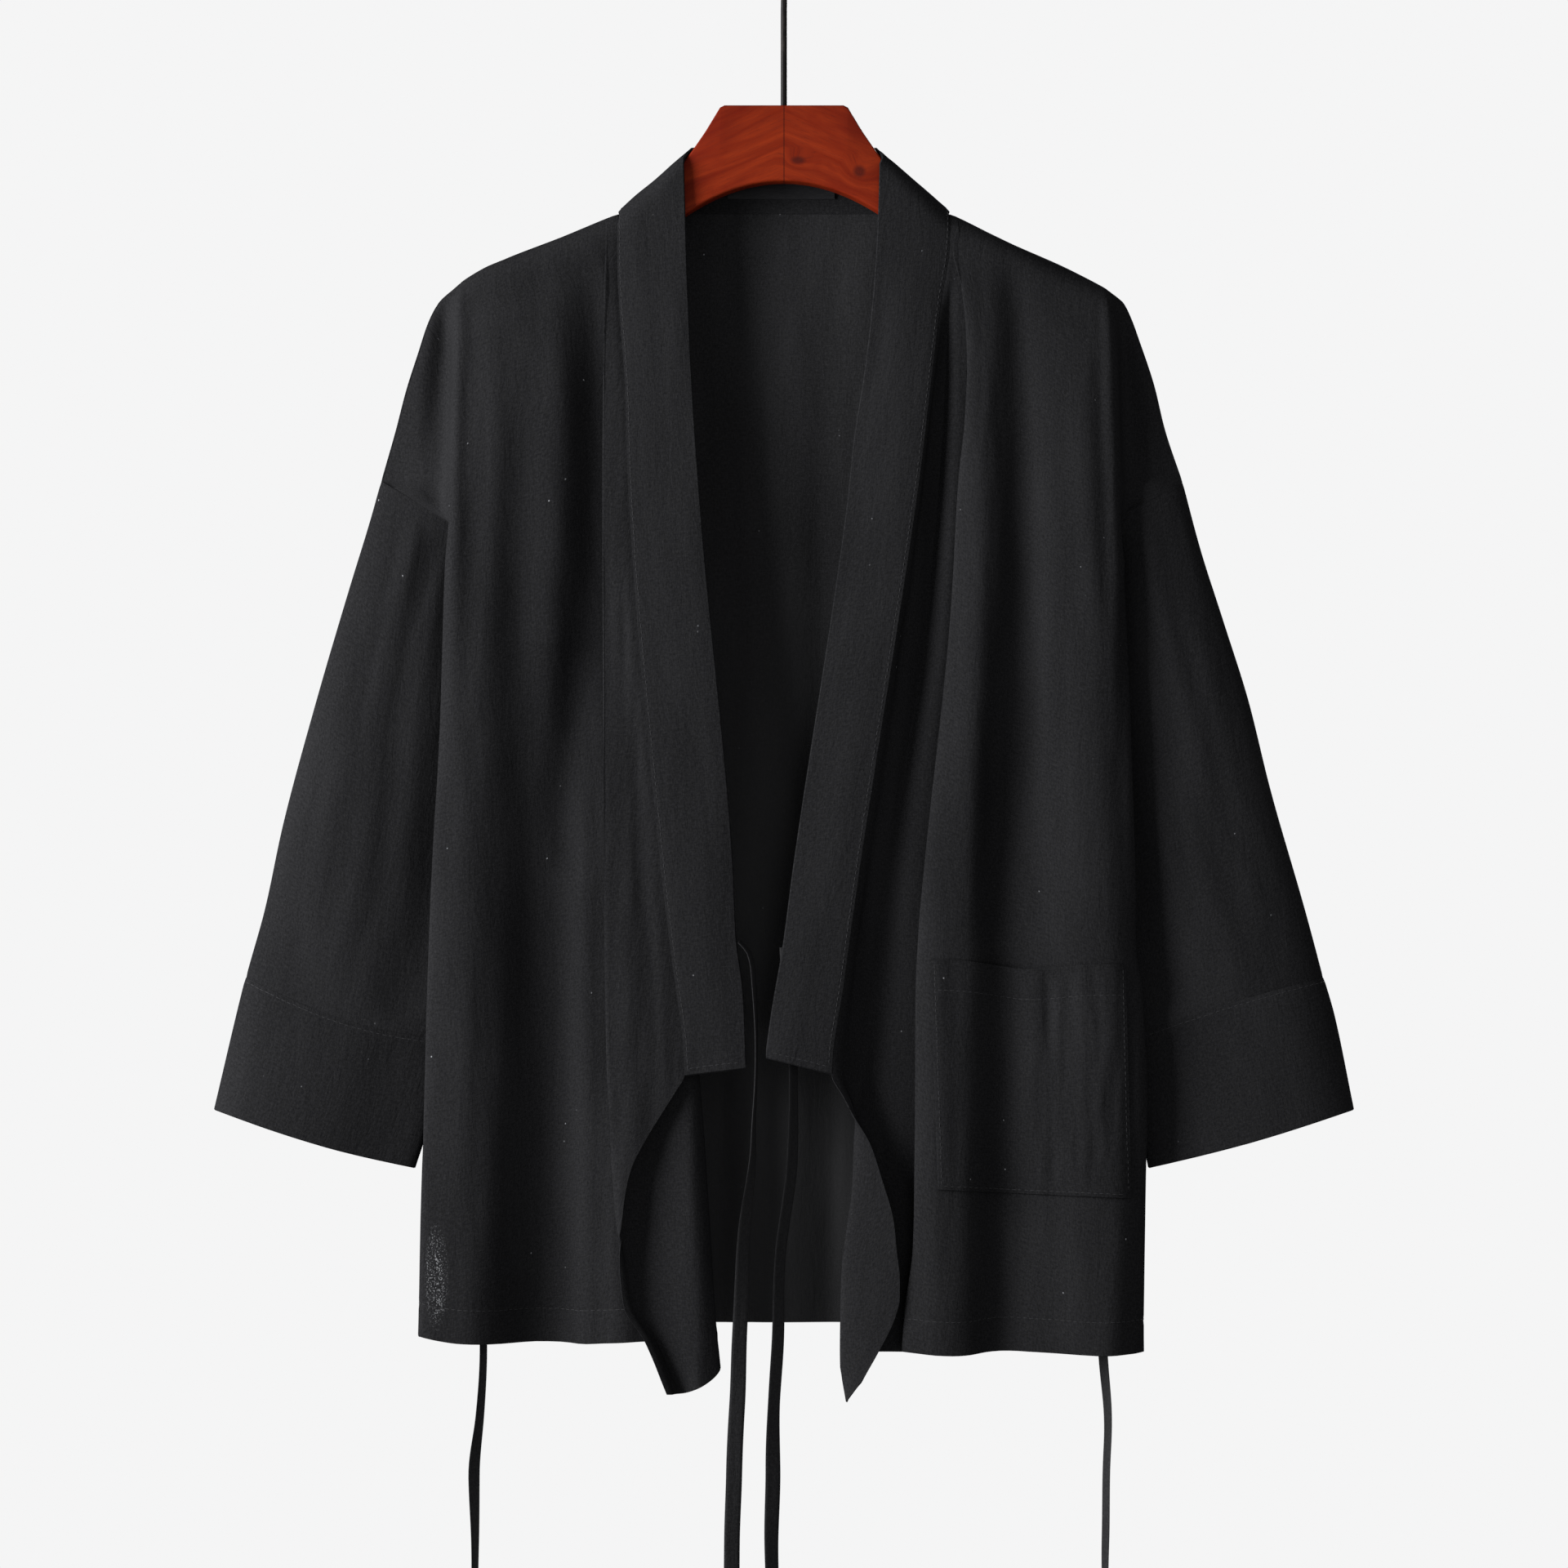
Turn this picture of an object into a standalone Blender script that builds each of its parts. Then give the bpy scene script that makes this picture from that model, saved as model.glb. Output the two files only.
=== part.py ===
"""A black kimono jacket hung by its shoulders on a wooden hanger.

The tables hold millimetres: across is to the right of the middle, drop is down from the top of the
hanger's wood, and depth is away from the eye, so the fronts have negative depths. Left and right are
as seen from the front. The origin is where the hook rests on its rail.
"""

import math

import bpy
import numpy as np

MM = 0.001

# Driving sizes, in millimetres
EYE_DISTANCE = 2200  # the tables' widths and drops are as seen from this far in front
EYE_DROP = 456
SEAM = 0.5  # gap between two sewn pieces
ARMHOLE_SEAM = 0.7
CLOTH = 1.4  # one layer
BAND_CLOTH = 2.4  # folded double and sewn flat
CUFF_CLOTH = 2.2
POCKET_CLOTH = 1.2
LABEL_CLOTH = 1.0
WIRE = 4.4  # hook
HOOK_RADIUS = 20  # inside the hook
SHANK = 92  # from the bottom of the hook's circle to the wood
HOOK_BEND = ((0.2, -58), (1.8, -51), (5.4, -44.5))  # across and up, where the shank turns into the circle
HOOK_ANGLES = (-60, 221, 14)  # degrees round the circle: first, past the last, step
HOOK_GAP = 0.3
WOOD_HALF = 7  # half the thickness of the hanger
WOOD_EDGE = 2  # rounding of the block's edges
ARM_REST = 2.4  # from the middle of the cloth down to the arm that carries it
BAND_REST = 3.2  # the same under the thicker band
NECK_REST = 5.2  # and where the band meets the shoulder
CAP_DEPTH = 10  # how far the cloth rounds out over an arm
CAP_DROP = 14  # the drop over which it does
FOLD_START = 40  # how far below the shoulder the folds reach their depth
ARMHOLE_TOP = 253
ARMHOLE_END = 307
ARMHOLE_DEPTH = 10  # half the thickness of the flat sleeve at the armhole
NECK_DROP = 73
TAPE_WIDTH = 11
TAPE_CLOTH = 1.2

TOP = -(2 * HOOK_RADIUS + WIRE / 2 + SHANK)

# Rows of the front and back panels, as drops along their outer edge
ROWS = (
    122, 124, 127, 132, 141, 165, 195, 225, 253, 271, 289, 307, 345,
    400, 460, 520, 580, 636, 665, 692, 716, 740, 764, 790, 810, 827,
)
BAND_ROW = 636  # the row at which the collar band ends
BACK_SKIPS = (692, 740, 790)  # rows that the plainer back does without
BETWEEN = 2  # columns from one line to the next

# Shoulder ridges: (across, drop)
SHOULDER_LEFT = ((-226, 125), (-215, 117), (-206, 111), (-195, 106), (-159, 92), (-135, 82), (-112, NECK_DROP))
SHOULDER_RIGHT = ((112, NECK_DROP), (129, 81), (158, 95), (184, 106), (205, 117), (225, 127))

# Lines down each front: (drop, across)
LEFT_LINES = {
    "edge": (
        (122, -221), (132, -232), (145, -239), (166, -246), (191, -254), (218, -261), (253, -271), (307, -180),
        (335, -177), (368, -179), (423, -186), (494, -196), (560, -207), (629, -219), (689, -234), (720, -240),
        (764, -244), (827, -246),
    ),
    "fold": (
        (117, -216), (137, -218), (184, -219), (232, -222), (268, -224), (323, -227), (419, -231), (522, -237),
        (606, -240), (715, -243), (828, -245),
    ),
    "ridge": ((112, -202), (313, -204), (423, -208), (533, -211), (753, -216), (833, -216)),
    "valley": ((93, -161), (258, -153), (423, -147), (833, -151)),
    "pleat": ((78, -122), (129, -120), (203, -118), (313, -115), (643, -112), (832, -109)),
    "behind": ((77, -121), (129, -119), (203, -114), (423, -99), (665, -84), (831, -81)),
    "rear": (
        (76, -120.3), (129, -117), (203, -108), (313, -95), (423, -82), (533, -70), (665, -56), (753, -50),
        (817, -46), (849, -43),
    ),
    "middle": (
        (76, -119.6), (129, -117.7), (203, -112), (423, -92), (533, -80), (665, -66), (753, -62), (819, -58),
        (863, -58),
    ),
    "hollow": ((76, -119), (203, -115), (423, -108), (533, -104), (665, -97), (753, -95), (819, -88), (866, -68)),
    "strip": (
        (76, -118.3), (129, -119), (268, -119), (511, -118), (642, -116), (697, -113), (753, -111), (778, -107),
        (808, -101), (831, -88), (866, -73),
    ),
    "seam": (
        (73, -112), (107, -112), (145, -110), (185, -107), (249, -105), (511, -83), (569, -76), (652, -67),
        (663, -73), (679, -83), (697, -94), (716, -103), (735, -107), (756, -109), (775, -111), (808, -108),
        (831, -94), (867, -79),
    ),
}
RIGHT_LINES = {
    "edge": (
        (127, 222), (132, 228), (144, 234), (155, 238), (188, 249), (217, 256), (253, 268), (307, 180),
        (335, 178), (368, 180), (423, 186), (494, 196), (560, 207), (629, 220), (689, 234), (720, 238),
        (764, 241), (838, 242),
    ),
    "fold": (
        (123, 216), (157, 220), (232, 224), (286, 227), (391, 232), (511, 236), (567, 237), (595, 241),
        (679, 244), (710, 243), (838, 241),
    ),
    "ridge": ((118, 207), (203, 207), (313, 210), (478, 214), (643, 217), (838, 216)),
    "valley": ((95, 158), (203, 161), (335, 165), (511, 161), (643, 158), (838, 158)),
    "crest": ((86, 139), (335, 139), (511, 125), (643, 119), (838, 118)),
    "main": (
        (76, 118), (95, 114), (122, 120), (166, 124), (213, 122), (250, 118), (335, 113), (511, 95), (555, 91),
        (598, 89), (739, 88), (771, 87), (807, 82), (833, 80),
    ),
    "behind": ((76, 117), (122, 121), (203, 124), (335, 118), (511, 101), (669, 95), (771, 94), (833, 87)),
    "inner": ((75, 115.5), (134, 112), (203, 110), (335, 100), (511, 74), (643, 62), (698, 68), (807, 60), (838, 62)),
    "leaf": (
        (74, 113.6), (134, 109), (191, 103), (249, 97), (511, 59), (588, 48), (651, 43), (681, 49), (698, 48),
        (734, 46), (753, 43), (789, 39), (844, 38), (872, 42),
    ),
    "seam": (
        (73, 112), (96, 111), (134, 105), (191, 98), (249, 91), (511, 51), (590, 40), (651, 32), (666, 40),
        (681, 48), (698, 58), (722, 66), (751, 74), (771, 76), (789, 78), (802, 78), (815, 75), (838, 64), (859, 52),
    ),
}

# How far each line stands forward of the shoulder's rounding: (drop, one value for each name)
LEFT_FORWARD = (
    ("drop", "fold", "ridge", "valley", "pleat", "behind", "rear", "middle", "hollow", "strip", "seam"),
    (120, 4, 5, 0, 0, 0, 0.7, 1.5, 2.5, 3.5, 0.5),
    (203, 10, 13, 8, 1, 0, 0.5, 1.5, 5, 10, 6),
    (313, 12, 17, 9, 2, 0, 2, 5, 7, 14, 11),
    (478, 12, 21, 9, 5, 2, 6, 11, 12, 20, 18),
    (643, 12, 24, 9, 11, 5, 11, 17, 15, 24, 24),
    (725, 10, 24, 9, 13, 7, 13, 21, 14, 23, 27),
    (760, 8, 24, 9, 13, 7, 13, 21, 13, 22, 27),
    (819, 2, 24, 8, 13, 8, 14, 21, 14, 18, 24),
)
RIGHT_FORWARD = (
    ("drop", "fold", "ridge", "valley", "crest", "main", "behind", "inner", "leaf", "seam"),
    (120, 4, 5, 0, 0, 1.5, 0, 0, 0, 0),
    (203, 9, 12, 6, 9, 7, 0, 1, 4, 6),
    (335, 10, 15, 8, 14, 12, 1, 2, 7, 11),
    (511, 10, 18, 10, 20, 17, 4, 5, 12, 18),
    (651, 10, 20, 12, 24, 21, 6, 7, 15, 24),
    (681, 10, 20, 12, 24, 21, 6, 7, 16, 22),
    (725, 9, 20, 12, 25, 21, 6, 7, 15, 24),
    (789, 5, 20, 12, 25, 21, 6, 8, 15, 25),
    (838, 2, 20, 12, 25, 20, 7, 9, 16, 24),
)

# Share of the side fold's depth half way in to the outer edge: (drop, share)
RECESS = ((253, 0.3), (289, 0.45), (320, 0.66), (600, 0.6), (740, 0.5))
# How far a front stands off the sleeve behind its side fold: (share of the armhole, millimetres)
LAP = ((0.4, 0), (0.6, 2.5), (0.92, 2.6), (1, 0))

# How far the cloth bulges half way from the strip or leaf to the free edge: drops, millimetres
MIDDLE_LIFT = ((400, 650), (0, 1.5))

# Drop at which each line of a front ends in the hem
LEFT_HEM = {
    "edge": 827, "recess": 827.5, "fold": 828, "ridge": 833, "valley": 833.5, "pleat": 832, "behind": 831,
    "rear": 849, "middle": 863, "hollow": 866, "strip": 866.5, "strip_middle": 867, "seam": 867,
}
RIGHT_HEM = {
    "edge": 838, "recess": 838, "fold": 838, "ridge": 841, "valley": 838, "crest": 841, "main": 838,
    "behind": 838, "inner": 838, "leaf": 872, "leaf_middle": 866, "seam": 859,
}

# Folds of the back: across at the top and at the hem, and depth behind the shoulder's rounding at each
BACK_FOLDS = (
    ("top", "hem", "top_depth", "hem_depth", "at_neck"),
    (-191, -202, 2, 18, False),
    (-150, -158, 1, 9, False),
    (-112, -115, 0, 19, False),
    (-105, -90, 1, 16, True),
    (-75, -61, 5, 9, True),
    (-50, -43, 8, 20, True),
    (-20, -18, 9.5, 9, True),
    (5, 3, 10, 9, True),
    (32, 31, 9, 20, True),
    (62, 58, 7, 11, True),
    (105, 92, 1, 18, True),
    (112, 108, 0, 19, False),
    (150, 150, 1, 9, False),
    (190, 200, 2, 18, False),
)
BACK_HEM = 818
BACK_NECK_DROP = 73.9

# Inner edge of the collar band down each front: (drop, across), and how far forward it stands: (drop, forward)
BAND_LEFT = ((36, -68), (73, -67), (158, -64), (268, -57), (511, -35), (557, -33), (598, -28), (647, -26))
BAND_RIGHT = (
    (36, 65), (73, 64), (122, 61), (177, 55), (222, 48), (268, 43), (511, 7), (564, 0), (611, -8), (640, -12),
)
BAND_FORWARD = ((38, 11.5), (203, 18), (423, 27), (647, 35))
BAND_ENDS = ((652, 647), (651, 640))  # drop of the seam and of the inner edge at each end
BAND_FRONT_TOP = (79, 38)  # the same where the band starts to turn over the shoulder
# The turn over each shoulder and round the neck: across, drop, depth of the seam, then of the inner edge
BAND_TURN = (
    (-111.5, 74.5, -4.7, -67, 33, -8),
    (-111, 70, 0, -62, 28.5, 0),
    (-109, 71, 6, -62, 28, 8.5),
    (-105, 72, 11.5, -56, 27.5, 12),
    (-87, 72.4, 14.5, -41, 27, 15.5),
    (-52, 72.4, 18, -21, 27, 18.5),
    (0, 72.4, 20, 0, 27, 20.5),
)

# Sleeves: outer and inner outline (drop, across), and how far the cuff's seam and hem sag in the middle
SLEEVE_LEFT = {
    "outer": ((253, -271), (278, -278), (327, -293), (402, -315), (484, -337), (540, -349), (587, -362), (675, -383)),
    "inner": (
        (303.5, -186), (335, -191), (368, -193), (423, -197), (494, -205), (560, -215), (629, -227), (689, -241),
        (714, -249),
    ),
    "seam_sag": 8,
    "hem_sag": 3.5,
}
SLEEVE_RIGHT = {
    "outer": (
        (253, 268), (298, 280), (345, 295), (399, 312), (456, 326), (536, 349), (584, 362), (612, 370), (675, 383),
    ),
    "inner": (
        (303.5, 186), (335, 191), (368, 193), (423, 197), (494, 205), (560, 215), (629, 227), (689, 241), (714, 246),
    ),
    "seam_sag": -2,
    "hem_sag": 2.5,
}
SLEEVE_DEPTH = ((0, ARMHOLE_DEPTH), (0.4, 12), (1, 14))  # half thickness from the armhole to the cuff's seam
CUFF_DEPTH = ((0, 14), (1, 16))
SLEEVE_TOP = (ARMHOLE_TOP, 303.5)  # its inner edge stops short of the underarm, inside the body's seams
CUFF_SEAM = (587, 629)  # drop at the outer and at the inner edge
CUFF_HEM = (675, 714)
SLEEVE_LEAN = 0.45  # how far the fullness lies towards the outer edge

# Pocket: drop and across of its corners
POCKET_CORNERS = ((574, 99), (578, 230), (729, 104), (735, 234))
POCKET_LIFT = 2.1  # from the middle of the front's cloth to the middle of the pocket's
POCKET_COLUMNS = 13
MOUTH_SAG = 5
MOUTH_MIDDLE = 0.5  # along the mouth
MOUTH_WIDTH = 0.24
MOUTH_BULGE = 3

LABEL_SIDES = (-38, 34)
LABEL_DROPS = (41, 62)
LABEL_LIFT = 2.1

# Ties: route as (drop, across, depth, turn in degrees from facing the front)
TIES = {
    "tie_band_left": (
        (562, -30.3, -32, 85), (569, -24, -32, 80), (581, -21, -32, 75), (634, -19, -31, 80), (695, -20, -30, 75),
        (756, -27, -29, 40), (820, -29, -28, 22), (917, -34, -28, 8), (984, -35, -28, 15), (1083, -37, -28, 25),
    ),
    "tie_band_right": (
        (566, 2.6, -30.1, 0), (600, 4, -25, 30), (650, 7, -24, 55), (704, 6, -24, 50), (774, -2, -24, 48),
        (867, -6, -24, 45), (917, -8, -24, 25), (984, -8, -24, 40), (1083, -10, -24, 30),
    ),
    "tie_side_left": (
        (568, -202.1, 0, 0), (590, -197, 0, 40), (698, -202, 0, 70), (833, -202, 0, 75), (881, -205, 0, 70),
        (922, -208, 0, 55), (984, -208, 0, 70), (1083, -210, 0, 60),
    ),
    "tie_side_right": (
        (568, 202.2, 0, 0), (590, 198, 0, -40), (698, 212, 0, -65), (841, 215, 0, -58), (899, 218, 0, -72),
        (984, 216, 0, -75), (1083, 215, 0, -60),
    ),
}
TIE_STEP = 20

# Hanger: (distance from the middle, drop) of its upper edge and of its lower edge beyond the arch
WOOD_TOP = (
    (0, 0), (40, 0), (43, 1.5), (53, 18), (62, 31), (67, 37),
)
ARCH_DROP = 51
ARCH_RISE = 23
ARCH_HALF = 67
WOOD_BOTTOM = ((67, 74), (85, 88), (112, 104), (159, 125), (197, 138), (212, 140), (216, 136))
WOOD_STATIONS = (0.15, 20, 40, 43, 53, 62, 67, 72, 85, 99, 111.5, 116, 125, 140, 158, 175, 190, 203, 211, 215)
TIP_START = 203
TIP_ROUND = 16  # twice the radius that rounds the upper edge at the tip
WOOD_ROUND = ((0, WOOD_EDGE), (60, WOOD_EDGE), (95, WOOD_HALF - 0.5), (216, WOOD_HALF - 0.5))

SLOTS = {
    "cloth": ((0.014, 0.0145, 0.016, 1), 0.9, 0),
    "tape": ((0.016, 0.016, 0.017, 1), 0.85, 0),
    "label": ((0.012, 0.012, 0.013, 1), 0.6, 0),
    "wood": ((0.19, 0.032, 0.012, 1), 0.25, 0),
    "steel": ((0.03, 0.03, 0.032, 1), 0.3, 1),
}


def smooth(points, place):
    """The value at place on a smooth line through (place, value) points, which it never overshoots."""
    places, values = np.array(points, float).T
    steps = np.diff(places)
    slopes = np.diff(values) / steps
    tangents = np.zeros(len(places))
    tangents[0], tangents[-1] = slopes[0], slopes[-1]
    same = slopes[:-1] * slopes[1:] > 0
    sums = np.where(same, slopes[:-1] + slopes[1:], 1)
    tangents[1:-1] = np.where(same, 2 * slopes[:-1] * slopes[1:] / sums, 0)
    place = np.clip(place, places[0], places[-1])
    left = np.clip(np.searchsorted(places, place) - 1, 0, len(steps) - 1)
    t = (place - places[left]) / steps[left]
    start, end = values[left], values[left + 1]
    pull, push = tangents[left] * steps[left], tangents[left + 1] * steps[left]
    return (
        start * (1 + 2 * t) * (1 - t) ** 2
        + pull * t * (1 - t) ** 2
        + end * t**2 * (3 - 2 * t)
        + push * t**2 * (t - 1)
    )


def across_keys(keys, between):
    """A row of points on a smooth line through the row of key points, with so many steps between two."""
    count = len(keys)
    places = np.linspace(0, count - 1, (count - 1) * between + 1)
    spots = np.arange(count)
    return np.stack([smooth(np.stack([spots, keys[:, axis]], 1), places) for axis in range(3)], 1)


def world(across, drop, depth):
    """Metres in the part's frame, for a point that is seen at this place and lies this deep."""
    scale = 1 + depth / EYE_DISTANCE
    height = TOP - EYE_DROP - (drop - EYE_DROP) * scale
    return np.stack(np.broadcast_arrays(across * scale, depth, height), -1) * MM


def rounding(drop):
    """How far the cloth has rounded out over the arm, so far below the ridge."""
    left = 1 - min(max(drop, 0) / CAP_DROP, 1)
    return CAP_DEPTH * math.sqrt(1 - left * left)


def flat_tube(share):
    """Half thickness of a flat sleeve of half thickness 1, so far across from its outer to its inner edge."""
    angle = np.arccos(np.clip(1 - 2 * share, -1, 1))
    return np.sin(angle) * (1 + SLEEVE_LEAN * np.cos(angle))


def forward(table, name, drop):
    """How far the named line stands forward at this drop."""
    column = table[0].index(name)
    return smooth([(row[0], row[column]) for row in table[1:]], drop)


def edge_depth(drop):
    """Half the thickness of the jacket along the outer edge of a front: only the armhole opens it."""
    share = np.clip((drop - ARMHOLE_TOP) / (ARMHOLE_END - ARMHOLE_TOP), 0, 1)
    return SEAM / 2 + ARMHOLE_DEPTH * flat_tube(share) + smooth(LAP, share)


def edge_across(lines, drop):
    """Across along a front's outer edge: its outline, the straight armhole seam and the side seam."""
    if ARMHOLE_TOP < drop < ARMHOLE_END:
        ends = [(d, a) for d, a in lines["edge"] if d in (ARMHOLE_TOP, ARMHOLE_END)]
        return np.interp(drop, *zip(*ends))
    part = [p for p in lines["edge"] if (p[0] <= ARMHOLE_TOP) == (drop <= ARMHOLE_TOP)]
    return smooth(part, drop)


class Front:
    """One front panel, as key points along named lines."""

    def __init__(self, lines, table, hem, shoulder, names, middle, band_end):
        self.lines, self.table, self.hem, self.shoulder = lines, table, hem, shoulder
        self.names = names
        self.middle = middle
        self.band_end = band_end

    def across(self, name, drop):
        if name == "edge":
            return edge_across(self.lines, drop)
        if name == "recess":
            return (self.across("edge", drop) + self.across("fold", drop)) / 2
        if name == self.middle[0]:
            return (self.across(self.middle[1], drop) + self.across("seam", drop)) / 2
        return float(smooth(self.lines[name], drop))

    def top(self, name):
        """Drop at which the line leaves the shoulder ridge."""
        if name == "edge":
            return self.lines["edge"][0][0]
        if name == "recess":
            return (self.top("edge") + self.top("fold")) / 2
        if name == self.middle[0]:
            return (self.top(self.middle[1]) + self.top("seam")) / 2
        return float(smooth(self.shoulder, self.lines[name][0][1]))

    def depth(self, name, drop):
        if name == "edge":
            return -edge_depth(drop)
        if name == "recess":
            part = smooth(RECESS, drop)
            return part * self.depth("fold", drop) + (1 - part) * self.depth("edge", drop)
        if name == self.middle[0]:
            lift = np.interp(drop, *MIDDLE_LIFT)
            return (self.depth(self.middle[1], drop) + self.depth("seam", drop)) / 2 - lift
        ahead = forward(self.table, name, drop) * min((drop - self.top(name)) / FOLD_START, 1)
        return -(SEAM / 2 + rounding(drop - self.top(name)) + max(ahead, 0))

    def share(self, plain):
        """How far down each line this row lies, so that the band ends on a row."""
        top, hem = self.top("seam"), self.hem["seam"]
        return np.interp(plain, (ROWS[0], BAND_ROW, ROWS[-1]), (0, (self.band_end - top) / (hem - top), 1))

    def key_row(self, plain):
        """Key points of one row, the first of them along the outer edge."""
        own = (self.lines["edge"][0][0], ARMHOLE_TOP, ARMHOLE_END, self.hem["edge"])
        outer_drop = np.interp(plain, (ROWS[0], ARMHOLE_TOP, ARMHOLE_END, ROWS[-1]), own)
        share = self.share(plain)
        row = []
        for name in self.names:
            drop = outer_drop if name == "edge" else self.top(name) + (self.hem[name] - self.top(name)) * share
            row.append((self.across(name, drop), drop, self.depth(name, drop)))
        return np.array(row)

    def grid(self):
        return np.array([across_keys(self.key_row(plain), BETWEEN) for plain in ROWS])

    def line_at(self, drop):
        """The section across the front at one drop."""
        keys = np.array([(self.across(name, drop), drop, self.depth(name, drop)) for name in self.names])
        return across_keys(keys, BETWEEN)

    def depth_at(self, across, drop):
        """Depth of the outer drape between its side fold and its pleat, where it is seen."""
        line = self.line_at(drop)[2 * BETWEEN:6 * BETWEEN + 1]
        order = np.argsort(line[:, 0])
        return np.interp(across, line[order, 0], line[order, 2])


LEFT = Front(
    LEFT_LINES, LEFT_FORWARD, LEFT_HEM, SHOULDER_LEFT,
    ("edge", "recess", "fold", "ridge", "valley", "pleat", "behind", "rear", "middle", "hollow", "strip",
     "strip_middle", "seam"),
    ("strip_middle", "strip"), BAND_ENDS[0][0],
)
RIGHT = Front(
    RIGHT_LINES, RIGHT_FORWARD, RIGHT_HEM, SHOULDER_RIGHT,
    ("edge", "recess", "fold", "ridge", "valley", "crest", "main", "behind", "inner", "leaf", "leaf_middle",
     "seam"),
    ("leaf_middle", "leaf"), BAND_ENDS[1][0],
)


def unit(vectors):
    return vectors / np.maximum(np.linalg.norm(vectors, axis=-1, keepdims=True), 1e-12)


def material(slot):
    """The slot's material, made once."""
    if slot in bpy.data.materials:
        return bpy.data.materials[slot]
    colour, roughness, metallic = SLOTS[slot]
    made = bpy.data.materials.new(slot)
    made.use_nodes = True
    made.diffuse_color = colour
    surface = made.node_tree.nodes["Principled BSDF"]
    surface.inputs["Base Color"].default_value = colour
    surface.inputs["Roughness"].default_value = roughness
    surface.inputs["Metallic"].default_value = metallic
    return made


def piece(name, slot, points, faces):
    """A named object, with the signed volume deciding which way its faces are turned."""
    points = np.asarray(points)
    volume = 0
    for face in faces:
        for second, third in zip(face[1:], face[2:]):
            volume += np.dot(points[face[0]], np.cross(points[second], points[third]))
    if volume < 0:
        faces = [face[::-1] for face in faces]
    mesh = bpy.data.meshes.new(name)
    mesh.from_pydata([tuple(p) for p in points], [], faces)
    mesh.shade_smooth()
    mesh.set_sharp_from_angle(angle=math.radians(40))
    mesh.materials.append(material(slot))
    made = bpy.data.objects.new(name, mesh)
    bpy.context.collection.objects.link(made)
    return made


def shell(name, slot, middle, thickness, round_it=False, flat=None):
    """Closed cloth of this thickness about a grid of points in metres.

    round_it joins the last column to the first. flat maps an edge of the grid (top, bottom, first or last)
    to directions that the thickness keeps clear of there, so that two sewn edges stay parallel.
    """
    rows, columns = middle.shape[:2]
    down = np.gradient(middle, axis=0)
    if round_it:
        along = np.roll(middle, -1, 1) - np.roll(middle, 1, 1)
    else:
        along = np.gradient(middle, axis=1)
    normals = unit(np.cross(unit(along), unit(down)))
    parts = {
        "top": (0, slice(None)), "bottom": (-1, slice(None)), "first": (slice(None), 0), "last": (slice(None), -1),
    }
    for edge, directions in (flat or {}).items():
        directions = unit(np.asarray(directions, float))
        there = normals[parts[edge]]
        normals[parts[edge]] = unit(there - (there * directions).sum(-1, keepdims=True) * directions)
    half = thickness * MM / 2
    points = np.concatenate([(middle + normals * half).reshape(-1, 3), (middle - normals * half).reshape(-1, 3)])
    back = rows * columns

    def at(row, column, side=0):
        return side * back + row * columns + column % columns

    faces = []
    for row in range(rows - 1):
        for column in range(columns if round_it else columns - 1):
            faces.append((at(row, column), at(row, column + 1), at(row + 1, column + 1), at(row + 1, column)))
            faces.append(
                (at(row, column, 1), at(row + 1, column, 1), at(row + 1, column + 1, 1), at(row, column + 1, 1))
            )
    for column in range(columns if round_it else columns - 1):
        faces.append((at(0, column + 1), at(0, column), at(0, column, 1), at(0, column + 1, 1)))
        low = rows - 1
        faces.append((at(low, column), at(low, column + 1), at(low, column + 1, 1), at(low, column, 1)))
    if not round_it:
        for row in range(rows - 1):
            faces.append((at(row, 0), at(row + 1, 0), at(row + 1, 0, 1), at(row, 0, 1)))
            far = columns - 1
            faces.append((at(row + 1, far), at(row, far), at(row, far, 1), at(row + 1, far, 1)))
    return piece(name, slot, points, faces)


def loft(name, slot, rings):
    """A closed solid through rings of equally many points in metres, with flat ends."""
    count = len(rings[0])
    faces = [tuple(range(count))[::-1]]
    for ring in range(len(rings) - 1):
        for spot in range(count):
            after = (spot + 1) % count
            low = ring * count
            faces.append((low + spot, low + after, low + count + after, low + count + spot))
    faces.append(tuple((len(rings) - 1) * count + spot for spot in range(count)))
    return piece(name, slot, np.concatenate(rings), faces)


def grid_world(grid):
    return world(grid[..., 0], grid[..., 1], grid[..., 2])


def armhole_normal(lines):
    """The direction in the front view at right angles to the armhole's seam, towards the sleeve."""
    top, end = [np.array((a, 0, -d), float) for d, a in lines["edge"] if d in (ARMHOLE_TOP, ARMHOLE_END)]
    line = unit(end - top)
    normal = np.array((line[2], 0, -line[0]))
    return normal if normal[2] < 0 else -normal


def edge_directions(front, rows=ROWS):
    """For each row, what the thickness keeps clear of along the outer edge."""
    cross = armhole_normal(front.lines)
    return [cross if ARMHOLE_TOP < row < ARMHOLE_END else (0, 1, 0) for row in rows]


def make_front(name, front):
    grid = front.grid()
    side = np.sign(grid[0, -1, 0] - grid[0, 0, 0])
    on_band = np.array(ROWS) <= BAND_ROW
    grid[:, -1, 0] -= np.where(on_band, side * SEAM / 2, 0)
    # Below the band the edge is free, and its rim is kept level
    lines = np.where(on_band[:, None], (1, 0, 0), (0, 0, 1))
    shell(
        name, "cloth", grid_world(grid), CLOTH,
        flat={"top": (0, 1, 0), "first": edge_directions(front), "last": lines},
    )


def back_side_keys(front, plain):
    """The back's edge, recess and fold, which mirror the front's."""
    return front.key_row(plain)[:3] * (1, 1, -1)


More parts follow.
